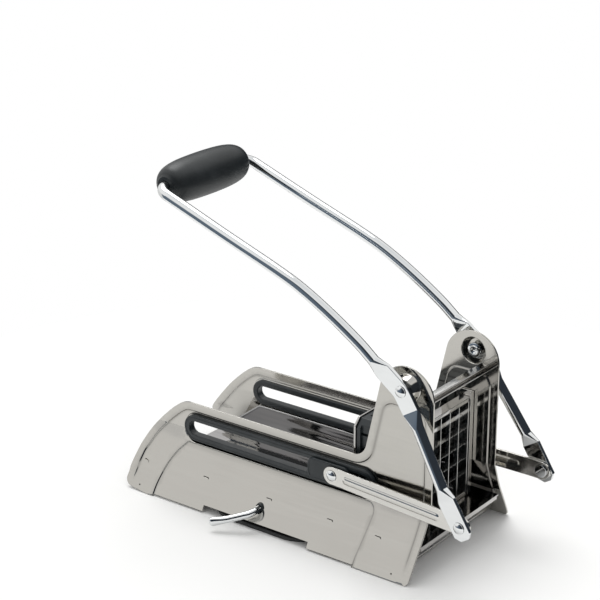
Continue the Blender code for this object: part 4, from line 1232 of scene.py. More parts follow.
@dataclass
class StampedWalls:
    """The two stamped side walls with their towers, pressed areas, slots and pivot bosses."""

    layout: Layout
    heights: Sequence[float] = (0.0, 0.010, 0.020, 0.028, 0.036, 0.044)
    flares: Sequence[float] = (0.0246, 0.0194, 0.0138, 0.0092, 0.0052, 0.0020)
    crease_z: float = 0.0493
    crease_soft: float = 0.00005
    border: float = 0.0055
    fade_from: float = 0.0040
    fade_over: float = 0.0140
    rear_foot_from: float = -0.2080
    rear_foot_corner: Point = (-0.2317, 0.0025)
    rear_foot_radius: float = 0.0060
    curve_steps: int = 4
    corner_steps: int = 8
    rear_edge: Sequence[Point] = (
        (-0.2326, 0.0093), (-0.2346, 0.0134), (-0.2358, 0.0178), (-0.2360, 0.0222), (-0.2353, 0.0252),
        (-0.2339, 0.0281), (-0.2313, 0.0320), (-0.2283, 0.0361), (-0.2218, 0.0443), (-0.2140, 0.0529),
        (-0.2048, 0.0616), (-0.1988, 0.0664), (-0.1955, 0.0686), (-0.1920, 0.0701), (-0.1880, 0.0709),
        (-0.1840, 0.0710),
    )
    flat_from: float = -0.2000
    flat_over: float = 0.0315
    flat_heights: Point = (0.0060, 0.0300)
    top_z: float = 0.0710
    tower_radius: float = 0.0214
    tower_arc_x: float = -0.0010
    tower_arc_z: float = 0.1235
    tower_foot: float = -0.0347
    tower_lean: float = math.radians(12.4)
    tower_fillet: float = 0.011
    arch_from: float = -0.1584
    arch_to: float = -0.0657
    arch_heights: Point = (0.0015, 0.0055)
    front: float = 0.0204
    front_foot: float = 0.0188
    front_foot_radius: float = 0.004
    front_straight_z: float = 0.040
    below_foot: float = -0.004
    recess_top: float = 0.1165
    recess_radius: float = 0.010
    stamp_step: float = 0.0007
    shoulder: float = 0.0011
    panel_rear: Sequence[Point] = (
        (-0.2052, 0.0), (-0.2040, 0.0115), (-0.2008, 0.0228), (-0.1952, 0.0330), (-0.1876, 0.0410),
    )
    panel_top: float = 0.0412
    panel_front: float = -0.0208
    panel_front_foot: float = -0.0270
    panel_step: float = 0.0006
    panel_shoulder: float = 0.0007
    panel_radii: Point = (0.0035, 0.007)
    seat_shoulder: float = 0.0012
    slot_inset: float = 0.0026
    slits: Sequence[Point] = (
        (-0.2236, 0.0178), (-0.1642, 0.0221), (-0.1068, 0.0221), (-0.0541, 0.0221), (-0.0138, 0.0221),
    )
    slit_size: Point = (0.0046, 0.0005)
    slit_hook: float = 0.0007
    boss_radii: Point = (0.0074, 0.0098)
    boss_round_share: float = 0.35
    pivot_hole: float = 0.0033
    rod_places: Sequence[float] = (0.0044, -0.2188)
    rod_z: float = 0.0046
    rod_mark: float = 0.0006
    shaft_hole: float = 0.0036
    shaft_z: float = 0.0150
    spacing: float = 0.0027
    # Painted shade in the pressed shoulders: its largest share, and where its middle lies across a
    # shoulder.
    painted_shade_most: float = 0.55
    painted_shade_middle: float = 0.6
    recess_guide_shares: Sequence[float] = (-0.3, 0.0, 0.25, 0.5, 0.75, 1.0, 1.3, 2.2)
    panel_guide_shares: Sequence[float] = (-0.4, 0.0, 0.33, 0.67, 1.0, 1.4)
    seat_guide_shares: Sequence[float] = (0.0, 0.5, 1.0)
    boss_guides: int = 8
    boss_guard: float = 0.0003
    crease_ends: Point = (-0.25, 0.05)
    lowest_guide: float = -0.0005

    def top_line(self) -> Outline:
        """The edge from the rear foot over the top and up the tower's rear edge.

        Returns:
            The open line, X from the pivot.
        """
        rear = curve_through([self.rear_foot_corner, *self.rear_edge], self.curve_steps)
        lean = (self.tower_arc_x - self.tower_radius * math.cos(self.tower_lean),
                self.tower_arc_z + self.tower_radius * math.sin(self.tower_lean))
        corners = [rear[-1], (self.tower_foot, self.top_z), lean]
        fillet = rounded(corners, (0.0, self.tower_fillet, 0.0), 10, closed=False)
        return rear + fillet[1:]

    def outline(self) -> Outline:
        """Closed side outline with its foot line and arch.

        Returns:
            The outline in world (X, Z).
        """
        centre = (self.tower_arc_x, self.tower_arc_z)
        dome = arc(centre, self.tower_radius, math.pi - self.tower_lean, 0.0, 30)
        corners = [
            (self.front, self.front_straight_z), (self.front_foot, 0.0), (self.panel_front_foot, 0.0),
        ]
        foot = rounded(corners, (0.0, self.front_foot_radius, 0.0), closed=False)
        foot_z, arch_z = self.arch_heights
        arch = [
            (self.panel_front_foot, foot_z), (self.arch_to, foot_z), (self.arch_to, arch_z),
            (self.arch_from, arch_z), (self.arch_from, foot_z), (self.panel_rear[0][0], foot_z),
            self.panel_rear[0],
        ]
        corners = [(self.rear_foot_from, 0.0), self.rear_foot_corner, self.rear_edge[0]]
        rear_foot = rounded(corners, (0.0, self.rear_foot_radius, 0.0), self.corner_steps, closed=False)
        above_foot = self.top_line()[self.curve_steps :]
        return self.placed(rear_foot[:-1] + above_foot + dome[1:] + foot + arch)

    def placed(self, points: Sequence[Point]) -> Outline:
        """World places of points measured from the pivot."""
        return [(self.layout.ahead(x), z) for x, z in points]

    def recess(self, spread: float) -> Outline:
        """Outline of the main pressed area, grown by a spread.

        Args:
            spread: How far outwards.

        Returns:
            The outline in world (X, Z).
        """
        line = shifted(self.top_line(), self.border - spread)
        top = self.recess_top + spread
        low, high = line[-2], line[-1]
        share = (top - low[1]) / (high[1] - low[1])
        line[-1] = (low[0] + (high[0] - low[0]) * share, top)
        line[0] = (line[0][0], self.below_foot)
        front = self.front - self.border + spread
        foot = self.front_foot - self.border + spread
        radii = [0.0] * (len(line) - 1) + [self.recess_radius, self.recess_radius, 0.0, 0.0]
        line += [(front, top), (front, self.front_straight_z), (foot, self.below_foot)]
        return self.placed(rounded(line, radii, self.corner_steps))

    def panel(self, spread: float) -> Outline:
        """Outline of the lower panel, grown by a spread.

        Args:
            spread: How far outwards.

        Returns:
            The outline in world (X, Z).
        """
        rear = shifted(curve_through(self.panel_rear, self.curve_steps), -spread)
        rear[0] = (rear[0][0], self.below_foot)
        top = self.panel_top + spread
        rear[-1] = (rear[-1][0], top)
        front = [(self.panel_front + spread, top), (self.panel_front_foot + spread, self.below_foot)]
        radii = [0.0] * (len(rear) - 1) + [*self.panel_radii, 0.0]
        return self.placed(rounded(rear + front, radii, self.corner_steps))

    def flare(self, points: np.ndarray, whole_length: bool = False) -> np.ndarray:
        """How far the wall leans out, with a crease at the top and nothing at the rear edge.

        Args:
            points: Array of (X, Z) places.
            whole_length: Whether it leans out right up to the rear edge.

        Returns:
            One distance for each place.
        """
        heights = points[:, 1]
        curve = np.array(curve_through(list(zip(self.heights, self.flares)), self.corner_steps))
        slope = self.flares[-1] / (self.crease_z - self.heights[-1])
        above = self.crease_z - heights
        rise = slope / 2 * (above + np.sqrt(above * above + self.crease_soft**2))
        whole = np.where(heights < self.heights[-1], np.interp(heights, curve[:, 0], curve[:, 1]), rise)
        if whole_length:
            return whole
        low, high = self.flat_heights
        rearward = eased((self.layout.ahead(self.flat_from) - points[:, 0]) / self.flat_over)
        return whole * (1.0 - rearward * eased((heights - low) / (high - low)))

    def gleam(self, points: np.ndarray) -> np.ndarray:
        """Face that the light falls on, whose rear end gleams like the rest of the wall."""
        return self.face(points, True)

    def face(self, points: np.ndarray, whole_length: bool = False) -> np.ndarray:
        """Half width of the outer face.

        Args:
            points: Array of (X, Z) places.
            whole_length: Whether it leans out right up to the rear edge.

        Returns:
            One half width for each place.
        """
        lay = self.layout
        width = lay.wall_y + self.flare(points, whole_length)
        pressed = self.stamp_step * eased((points[:, 1] - self.fade_from) / self.fade_over)
        width = width - pressed * eased(-signed_distance(points, self.recess(0.0)) / self.shoulder)
        inside = -signed_distance(points, self.panel(0.0))
        width = width - self.panel_step * eased(inside / self.panel_shoulder)
        seat = 1.0 - eased(signed_distance(points, lay.slot_line(-lay.gap)) / self.seat_shoulder)
        width = width * (1.0 - seat) + lay.seat_y * seat
        reach = np.hypot(points[:, 0] - lay.pivot_x, points[:, 1] - lay.pivot_z)
        top, foot = self.boss_radii
        boss = np.clip((foot - reach) / (foot - top), 0.0, 1.0)
        boss = boss + self.boss_round_share * (eased(boss) - boss)
        return width * (1.0 - boss) + lay.boss_top_y * boss

    def painted_shade(self, points: np.ndarray) -> np.ndarray:
        """Share of painted shade, most in the middle of each pressed shoulder.

        Args:
            points: Array of (X, Z) places.

        Returns:
            One share for each place.
        """
        # Painted shade, darkest along the middle of each pressed shoulder and fading out towards the foot.
        fade = eased((points[:, 1] - self.fade_from) / self.fade_over)
        recess = -signed_distance(points, self.recess(0.0)) / self.shoulder
        panel = -signed_distance(points, self.panel(0.0)) / self.panel_shoulder
        shares = [np.exp(-((inside - self.painted_shade_middle) ** 2)) for inside in (recess, panel)]
        return np.maximum(shares[0] * fade, shares[1]) * self.painted_shade_most

    def holes(self, side: Side) -> list[Outline]:
        """Cut-outs of one wall.

        Args:
            side: Which wall.

        Returns:
            Closed outlines.
        """
        lay = self.layout
        found = [lay.slot_line(self.slot_inset), circle(lay.pivot(), self.pivot_hole, 24)]
        found.extend(circle((lay.ahead(x), self.rod_z), self.rod_mark, 10) for x in self.rod_places)
        length, thick = self.slit_size
        for x, z in self.slits:
            start, end = lay.ahead(x) - length / 2, lay.ahead(x) + length / 2
            found.append([
                (start, z), (end - thick, z), (end, z - self.slit_hook), (end + thick, z - self.slit_hook),
                (end + thick / 2, z + thick / 2), (end - thick, z + thick), (start, z + thick),
            ])
        if side is Side.NEAR:
            found.append(circle((0.0, self.shaft_z), self.shaft_hole, 40))
        return found

    def lines(self) -> list[Outline]:
        """Lines along the shoulders that the mesh follows.

        Returns:
            Closed outlines.
        """
        lay = self.layout
        found = [self.recess(-self.shoulder * share) for share in self.recess_guide_shares]
        found.extend(self.panel(-self.panel_shoulder * share) for share in self.panel_guide_shares)
        found.extend(lay.slot_line(-lay.gap - self.seat_shoulder * share)
                     for share in self.seat_guide_shares)
        top, foot = self.boss_radii
        reaches = [top - self.boss_guard, foot + self.boss_guard]
        reaches += [top + (foot - top) * step / self.boss_guides for step in range(self.boss_guides + 1)]
        found.extend(circle(lay.pivot(), reach, 56) for reach in reaches)
        found.append([(lay.ahead(end), self.crease_z) for end in self.crease_ends])
        return [self.kept_above_ground(line) for line in found]

    def kept_above_ground(self, line: Outline) -> Outline:
        """A line whose points far below the wall's foot are lifted to just below it."""
        return [(x, max(z, self.lowest_guide)) for x, z in line]

    def build(self, dresser: Dresser) -> None:
        """Make and dress both walls.

        Args:
            dresser: Finishes and ties the pieces.
        """
        for side in Side:
            sheet = PressedSheet(self.outline(), self.holes(side), self.lines(), self.spacing,
                                 self.layout.wall_thick, self.face, painted_shade=self.painted_shade, gleam=self.gleam,
                                 crease=self.crease_z)
            wall = sheet.build(f"stamped_wall_{side.label}", side)
            dresser.dress(wall, WALL_STEEL, Rides.BODY, f"side_wall_{side.label}")


def both_sides(dresser: Dresser, near: bpy.types.Object, finish: Finish, body: Rides, node: str) -> None:
    """Dress a near-side piece and its mirrored copy.

    Args:
        dresser: Finishes and ties the pieces.
        near: The near-side piece, named with the ending _near.
        finish: Its finish.
        body: Body that both move with.
        node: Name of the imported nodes, without their side.
    """
    far = mirrored(near, near.name.replace("_near", "_far"))
    dresser.dress(near, finish, body, node + "_near")
    dresser.dress(far, finish, body, node + "_far")


@dataclass
class SlotLiners:
    """Black moulded liners round the long slots: a lip outside, one inside and a web between."""

    layout: Layout
    bar: float = 0.0047
    edge: float = 0.0006
    web_inset: float = 0.0029
    seat_gap: float = 0.0003
    bead_from: float = 0.0013
    bead_to: float = 0.0019
    bead_slope: float = 0.0001
    bead_depth: float = 0.00025

    def section(self) -> Outline:
        """Closed section of the liner as (inset, half width) points.

        Returns:
            The section.
        """
        lay = self.layout
        outer, inner = lay.liner_outer_y, lay.liner_inner_y
        wall_out = lay.seat_y + self.seat_gap
        wall_in = lay.seat_y - lay.wall_thick - self.seat_gap
        edge = self.edge
        return [
            (0.0, wall_out),
            *arc((edge, outer - edge), edge, 2 * SQUARE_TURN, SQUARE_TURN, 5),
            (self.bead_from, outer), (self.bead_from + self.bead_slope, outer - self.bead_depth),
            (self.bead_to - self.bead_slope, outer - self.bead_depth), (self.bead_to, outer),
            *arc((self.bar - edge, outer - edge), edge, SQUARE_TURN, 0.0, 5),
            (self.bar, inner + edge), (self.bar - edge, inner), (edge, inner), (0.0, inner + edge),
            (0.0, wall_in), (self.web_inset, wall_in), (self.web_inset, wall_out),
        ]

    def build(self, dresser: Dresser) -> None:
        """Make and dress both liners.

        Args:
            dresser: Finishes and ties the pieces.
        """
        rings = []
        for inset, width in self.section():
            rings.append([Vector((x, -width, z)) for x, z in self.layout.slot_line(inset, 28)])
        work = bmesh.new()
        add_loft(work, rings, looped=True)
        near = smoothed(mesh_object("slot_liner_near", tidied(work)))
        both_sides(dresser, near, BLUE_BLACK, Rides.BODY, "slot_guide")


@dataclass
class Shoes:
    """Black shoes that run in the slots: a flange outside the liner and a web to the plate's ear."""

    layout: Layout
    rear: float = -0.0790
    front: float = -0.0440
    half: float = 0.0079
    corner: float = 0.0050
    edge: float = 0.0006
    level_shares: Sequence[Point] = (
        (0.0, 1.0), (0.3, 0.3), (1.0, 0.0), (2.2, 0.0), (2.4, 0.4), (3.0, 0.4),
    )
    web_half: float = 0.0050
    web_corner: float = 0.0040
    web_inner_y: float = 0.0365

    def ring(self, half: float, corner: float, inset: float, width: float) -> list[Vector]:
        """One ring of the shoe.

        Args:
            half: Half height of the whole outline.
            corner: Its corner radius.
            inset: How far the ring lies inside it.
            width: Half width of the ring's place.

        Returns:
            The ring's points.
        """
        lay = self.layout
        low = (lay.ahead(self.rear) + inset, lay.slot_mid_z - half + inset)
        high = (lay.ahead(self.front) - inset, lay.slot_mid_z + half - inset)
        return [Vector((x, -width, z)) for x, z in rounded_box(low, high, corner - inset, 8)]

    def build(self, dresser: Dresser) -> None:
        """Make and dress both shoes.

        Args:
            dresser: Finishes and ties the pieces.
        """
        lay = self.layout
        base = lay.liner_outer_y + lay.gap
        top = base + lay.shoe_thick
        edge = self.edge
        levels = [(edge / 3, base), (0.0, base + edge / 3)]
        levels += [(edge * inset, top - edge * drop) for inset, drop in self.level_shares]
        work = bmesh.new()
        add_loft(work, [self.ring(self.half, self.corner, inset, width) for inset, width in levels])
        web = [(0.0, base + edge / 2), (0.0, self.web_inner_y + edge), (edge, self.web_inner_y)]
        add_loft(work, [self.ring(self.web_half, self.web_corner, inset, width) for inset, width in web])
        near = smoothed(mesh_object("shoe_near", tidied(work)))
        both_sides(dresser, near, BLUE_BLACK, Rides.PUSHER, "slider_shoe")


@dataclass
class LinkBars:
    """Flat stamped bars with a slight crank and a long rib, between the lever and the shoes."""

    layout: Layout
    half: float = 0.0066
    bend_from: float = 0.0070
    bend_to: float = 0.1000
    bend_soft: float = 0.0020
    rib_from: float = 0.0125
    rib_to: float = 0.0880
    rib_half: float = 0.0029
    rib_rise: float = 0.0008
    hole: float = 0.0031
    spacing: float = 0.0016
    edge: float = 0.0003
    edge_guide: float = 0.0006
    rib_guide_shares: Sequence[float] = (-0.1, 0.0, 0.15, 0.35, 0.6, 0.85)

    def face(self, points: np.ndarray) -> np.ndarray:
        """Half width of the outer face.

        Args:
            points: Array of (X, Z) places.

        Returns:
            One half width for each place.
        """
        lay = self.layout
        start = lay.slider_pin()[0]
        reach = points[:, 0] - start
        soft = self.bend_soft
        past = [(reach - bend + np.sqrt((reach - bend) ** 2 + soft * soft)) / 2
                for bend in (self.bend_from, self.bend_to)]
        share = (past[0] - past[1]) / (self.bend_to - self.bend_from)
        base = lay.link_slider_y + (lay.link_lever_y - lay.link_slider_y) * share + lay.link_thick
        inside = np.clip(-signed_distance(points, self.rib_line(0.0)) / self.rib_half, 0.0, 1.0)
        return base + self.rib_rise * inside * (2.0 - inside)

    def rib_line(self, inset: float) -> Outline:
        """Outline of the rib, shrunk by an inset.

        Args:
            inset: How far in.

        Returns:
            The outline.
        """
        start = Vector(self.layout.slider_pin())
        run = (Vector(self.layout.lower_pin()) - start).normalized()
        ends = [tuple(start + run * reach) for reach in (self.rib_from, self.rib_to)]
        return stadium(ends[0], ends[1], self.rib_half - inset, 12)

    def build(self, dresser: Dresser) -> None:
        """Make and dress both bars.

        Args:
            dresser: Finishes and ties the pieces.
        """
        lay = self.layout
        ends = (lay.slider_pin(), lay.lower_pin())
        outline = stadium(*ends, self.half, 24)
        holes = [circle(end, self.hole, 24) for end in ends]
        lines = [stadium(*ends, self.half - self.edge_guide, 24)]
        lines += [self.rib_line(self.rib_half * share) for share in self.rib_guide_shares]
        sheet = PressedSheet(outline, holes, lines, self.spacing, lay.link_thick, self.face, self.edge)
        for side in Side:
            bar = sheet.build(f"link_bar_{side.label}", side)
            dresser.dress(bar, LINK_CHROME, Rides.LINKS, f"link_{side.label}")


@dataclass
class LeverBail:
    """One chromed rod, pressed flat at the pivots and at its lower ends, with a crossbar."""

    layout: Layout
    rod: float = 0.0040
    plate_half: float = 0.0067
    plate_edge: float = 0.0005
    outset: float = 0.0007
    lower_drop: float = 0.0088
    chamfer: float = 0.0036
    lower_flat: float = 0.0195
    lower_neck: float = 0.0275
    upper_flat_below: float = 0.0150
    upper_neck_below: float = 0.0260
    upper_flat_above: float = 0.0175
    upper_neck_above: float = 0.0270
    pivot_bend: float = 0.020
    corner: float = 0.0090
    arm: Sequence[Point] = (
        (-0.0175, 0.0130), (-0.0260, 0.0199), (-0.0342, 0.0261), (-0.0510, 0.0370),
        (-0.0680, 0.0469), (-0.0850, 0.0555), (-0.1025, 0.0625), (-0.1200, 0.0688),
        (-0.1376, 0.0750), (-0.1556, 0.0815), (-0.1737, 0.0882), (-0.2050, 0.0998),
    )
    step: float = 0.0020
    station_guard: float = 0.0005
    slope_reach: float = 0.002
    past_the_end: float = 1.0
    quarter_steps: int = 12
    sharp_angle: float = 24.0

    def side_line(self) -> Outline:
        """Side view of the near arm from its lower end to the crossbar's corner.

        Returns:
            The open line in (X, Z).
        """
        lay = self.layout
        pin, pivot = Vector(lay.lower_pin()), Vector(lay.pivot())
        down = (pin - pivot).normalized()
        end = pin + down * self.lower_drop
        first = [(lay.ahead(x), lay.pivot_z + z) for x, z in self.arm]
        bend = rounded([tuple(end), tuple(pivot), first[0]], (0.0, self.pivot_bend, 0.0), 10, closed=False)
        return bend[:-1] + curve_through(first, 5)

    def stations(self) -> list[tuple[float, float, float, float, float]]:
        """Places along the arm where its section changes.

        Returns:
            Tuples of distance, half width of the centre line, half breadth, half thickness and edge radius.
        """
        lay = self.layout
        pin = self.lower_drop
        pivot = pin + (Vector(lay.pivot()) - Vector(lay.lower_pin())).length
        low_half, high_half = lay.lower_plate_thick / 2, lay.upper_plate_thick / 2
        low_y = lay.lower_plate_y + low_half
        high_y = lay.boss_top_y + lay.gap + high_half
        wide, rod, edge = self.plate_half, self.rod, self.plate_edge
        return [
            (0.0, low_y, wide - self.chamfer, low_half, edge),
            (self.chamfer, low_y, wide, low_half, edge),
            (pin + self.lower_flat, low_y, wide, low_half, edge),
            (pin + self.lower_neck, low_y - self.outset, rod, rod, rod),
            (pivot - self.upper_neck_below, high_y + self.outset, rod, rod, rod),
            (pivot - self.upper_flat_below, high_y, wide, high_half, edge),
            (pivot + self.upper_flat_above, high_y, wide, high_half, edge),
            (pivot + self.upper_neck_above, high_y + self.outset, rod, rod, rod),
            (pivot + self.past_the_end, high_y + self.outset, rod, rod, rod),
        ]

    def ring(self, centre: Vector, wide: Vector, thin: Vector, size: Sequence[float]) -> list[Vector]:
        """Section of the rod: a rectangle with round corners, or a circle.

        Args:
            centre: Middle of the section.
            wide: Direction of its breadth.
            thin: Direction of its thickness.
            size: Half breadth, half thickness and corner radius.

        Returns:
            The section's points.
        """
        breadth, thickness, radius = size
        points = []
        for quarter, (u, v) in enumerate(((1, 1), (-1, 1), (-1, -1), (1, -1))):
            middle = (u * (breadth - radius), v * (thickness - radius))
            turn = quarter * SQUARE_TURN
            for a, b in arc(middle, radius, turn, turn + SQUARE_TURN, self.quarter_steps):
                points.append(centre + wide * a + thin * b)
        return points

    def arm_rings(self) -> list[list[Vector]]:
        """Rings of the near arm, its corner and half of the crossbar.

        Returns:
            The rings in order.
        """
        line = self.side_line()
        table = np.array(self.stations())
        lengths = [0.0]
        for first, second in zip(line, line[1:]):
            lengths.append(lengths[-1] + (Vector(second) - Vector(first)).length)
        total = lengths[-1] - self.corner
        places = set(np.arange(0.0, total, self.step)) | {total}
        for place in table[:-1, 0]:
            places |= {place, place + self.station_guard, max(0.0, place - self.station_guard)}
        rings = []
        flat = np.array(line)
        sideways = Vector((0.0, 1.0, 0.0))
        for place in sorted(places):
            x, z = (float(np.interp(place, lengths, flat[:, axis])) for axis in (0, 1))
            before, after = max(place - self.slope_reach, 0.0), place + self.slope_reach
            run, rise = (np.interp(after, lengths, column) - np.interp(before, lengths, column)
                         for column in flat.T)
            width, *size = (float(np.interp(place, table[:, 0], column)) for column in table.T[1:])
            along = Vector((run, 0.0, rise)).normalized()
            wide = along.cross(sideways).normalized()
            rings.append(self.ring(Vector((x, -width, z)), wide, sideways, size))
        start = Vector((x, -width, z))
        for step in range(1, self.quarter_steps + 1):
            angle = SQUARE_TURN * step / self.quarter_steps
            centre = start + along * (self.corner * math.sin(angle))
            centre.y += self.corner * (1.0 - math.cos(angle))
            thin = Vector((0.0, math.cos(angle), 0.0)) - along * math.sin(angle)
            rings.append(self.ring(centre, wide, thin, (self.rod, self.rod, self.rod)))
        return rings

    def build(self, dresser: Dresser) -> None:
        """Make and dress the whole rod.

        Args:
            dresser: Finishes and ties the pieces.
        """
        near = self.arm_rings()
        far = [self.matched([Vector((point.x, -point.y, point.z)) for point in ring])
               for ring in near[::-1]]
        work = bmesh.new()
        add_loft(work, near + far)
        made = smoothed(mesh_object("lever_rod", tidied(work)), self.sharp_angle)
        dresser.dress(made, BRIGHT_CHROME, Rides.LEVER, "lever_bail")

    @staticmethod
    def matched(ring: list[Vector]) -> list[Vector]:
        """A mirrored ring reordered so that its points follow those of the near arm."""
        count = len(ring)
        quarter = count // 4
        return [ring[(2 * quarter - 1 - index) % count] for index in range(count)]


@dataclass
class Grip:
    """Turned black grip on the crossbar."""

    layout: Layout
    centre: Point = (-0.2050, 0.0998)
    bore: float = 0.0043
    profile: Sequence[Point] = (
        (-0.0420, 0.0068), (-0.0408, 0.0082), (-0.0396, 0.0100), (-0.0372, 0.0120), (-0.0330, 0.0136),
        (-0.0260, 0.0148), (-0.0160, 0.0155), (0.0, 0.0158), (0.0160, 0.0155), (0.0260, 0.0148),
        (0.0330, 0.0136), (0.0372, 0.0120), (0.0396, 0.0100), (0.0408, 0.0082), (0.0420, 0.0068),
    )

    def build(self, dresser: Dresser) -> None:
        """Make and dress the grip.

        Args:
            dresser: Finishes and ties the pieces.
        """
        fine = curve_through(self.profile, 5)
        ends = [(self.profile[-1][0], self.bore), (self.profile[0][0], self.bore)]
        lay = self.layout
        centre = Vector((lay.ahead(self.centre[0]), 0.0, lay.pivot_z + self.centre[1]))
        made = turned("grip_sleeve", fine + ends, centre)
        dresser.dress(made, GRIP_BLACK, Rides.LEVER, "grip")


@dataclass
class Rivets:
    """Domed and stepped rivets of the pivots and pins."""

    layout: Layout
    shank: float = 0.0028
    head: float = 0.0041
    head_rise: float = 0.0016
    head_lip: float = 0.0003
    head_edge: float = 0.0003
    head_corner: float = 0.0001
    dome_steps: int = 12
    pivot_inner: float = 0.0052
    pivot_inner_rise: float = 0.0026
    pivot_face: Sequence[Point] = (
        (0.0011, 0.0052), (0.0008, 0.0049), (0.0008, 0.0037), (0.0006, 0.0035), (0.0002, 0.0034),
        (0.0, 0.0031), (0.0, 0.0022), (0.0004, 0.0019), (0.0004, 0.0),
    )
    foot: float = 0.0046
    foot_rise: float = 0.0009
    foot_bevel: Point = (0.0002, 0.0003)

    def domed(self, base: float) -> Outline:
        """Section of a head from its foot outwards, as (Y from the middle, radius).

        Args:
            base: Half width of its foot.

        Returns:
            Points from the axis over the head to its rim.
        """
        rise, lip = self.head_rise - self.head_lip, self.head_lip
        dome = self.head - self.head_edge
        bend = (dome * dome + rise * rise) / (2 * rise)
        edge = math.asin(dome / bend)
        section = []
        for step in range(self.dome_steps + 1):
            angle = edge * step / self.dome_steps
            section.append((-base - lip - rise + bend * (1.0 - math.cos(angle)), bend * math.sin(angle)))
        head = self.head
        return section + [(-base - lip, head - self.head_corner), (-base - lip / 2, head), (-base, head)]

    @staticmethod
    def place(name: str, centre: Point, section: Outline, dresser: Dresser, body: Rides, node: str) -> None:
        """Turn and dress one pair.

        Args:
            name: Name of the pair.
            centre: Its place in (X, Z).
            section: Its closed section.
            dresser: Finishes and ties the pieces.
            body: Body that it moves with.
            node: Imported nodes' name without their side.
        """
        made = turned(name + "_near", section, Vector((centre[0], 0.0, centre[1])), 40)
        both_sides(dresser, made, BRIGHT_CHROME, body, node)

    def build(self, dresser: Dresser) -> None:
        """Make and dress all rivets.

        Args:
            dresser: Finishes and ties the pieces.
        """
        lay = self.layout
        shank = self.shank
        top = lay.boss_top_y + lay.gap + lay.upper_plate_thick + lay.gap
        inner = lay.wall_y - lay.wall_thick - lay.gap
        inner_end = inner + self.pivot_inner_rise
        stepped = [(-inner_end, shank), (-inner_end, self.pivot_inner)]
        stepped += [(-inner - depth, radius) for depth, radius in self.pivot_face]
        pivot = self.domed(top) + [(-top, shank)] + stepped
        self.place("pivot_pin", lay.pivot(), pivot, dresser, Rides.LEVER, "pivot_rivet")
        plate = lay.lower_plate_y
        outer = plate + lay.lower_plate_thick + lay.gap
        lower = self.domed(outer) + [(-outer, shank), (-plate, shank), (-plate, 0.0)]
        self.place("lower_pin", lay.lower_pin(), lower, dresser, Rides.LEVER, "lower_rivet")
        slide = lay.link_slider_y + lay.link_thick + lay.gap
        inner_slide = lay.liner_outer_y + lay.shoe_thick + 2 * lay.gap
        slider = self.domed(slide) + [(-slide, shank), (-inner_slide, shank), (-inner_slide, 0.0)]
        self.place("slider_pin", lay.slider_pin(), slider, dresser, Rides.PUSHER, "slider_rivet")
        high = lay.link_lever_y - lay.gap
        low = high - self.foot_rise
        tip = lay.link_lever_y + lay.link_thick
        rise, inset = self.foot_bevel
        end = [
            (-tip, 0.0), (-tip, shank), (-high, shank), (-high, self.foot),
            (-low - rise, self.foot), (-low, self.foot - inset), (-low, 0.0),
        ]
        self.place("link_end_pin", lay.lower_pin(), end, dresser, Rides.LINKS, "link_end_rivet")


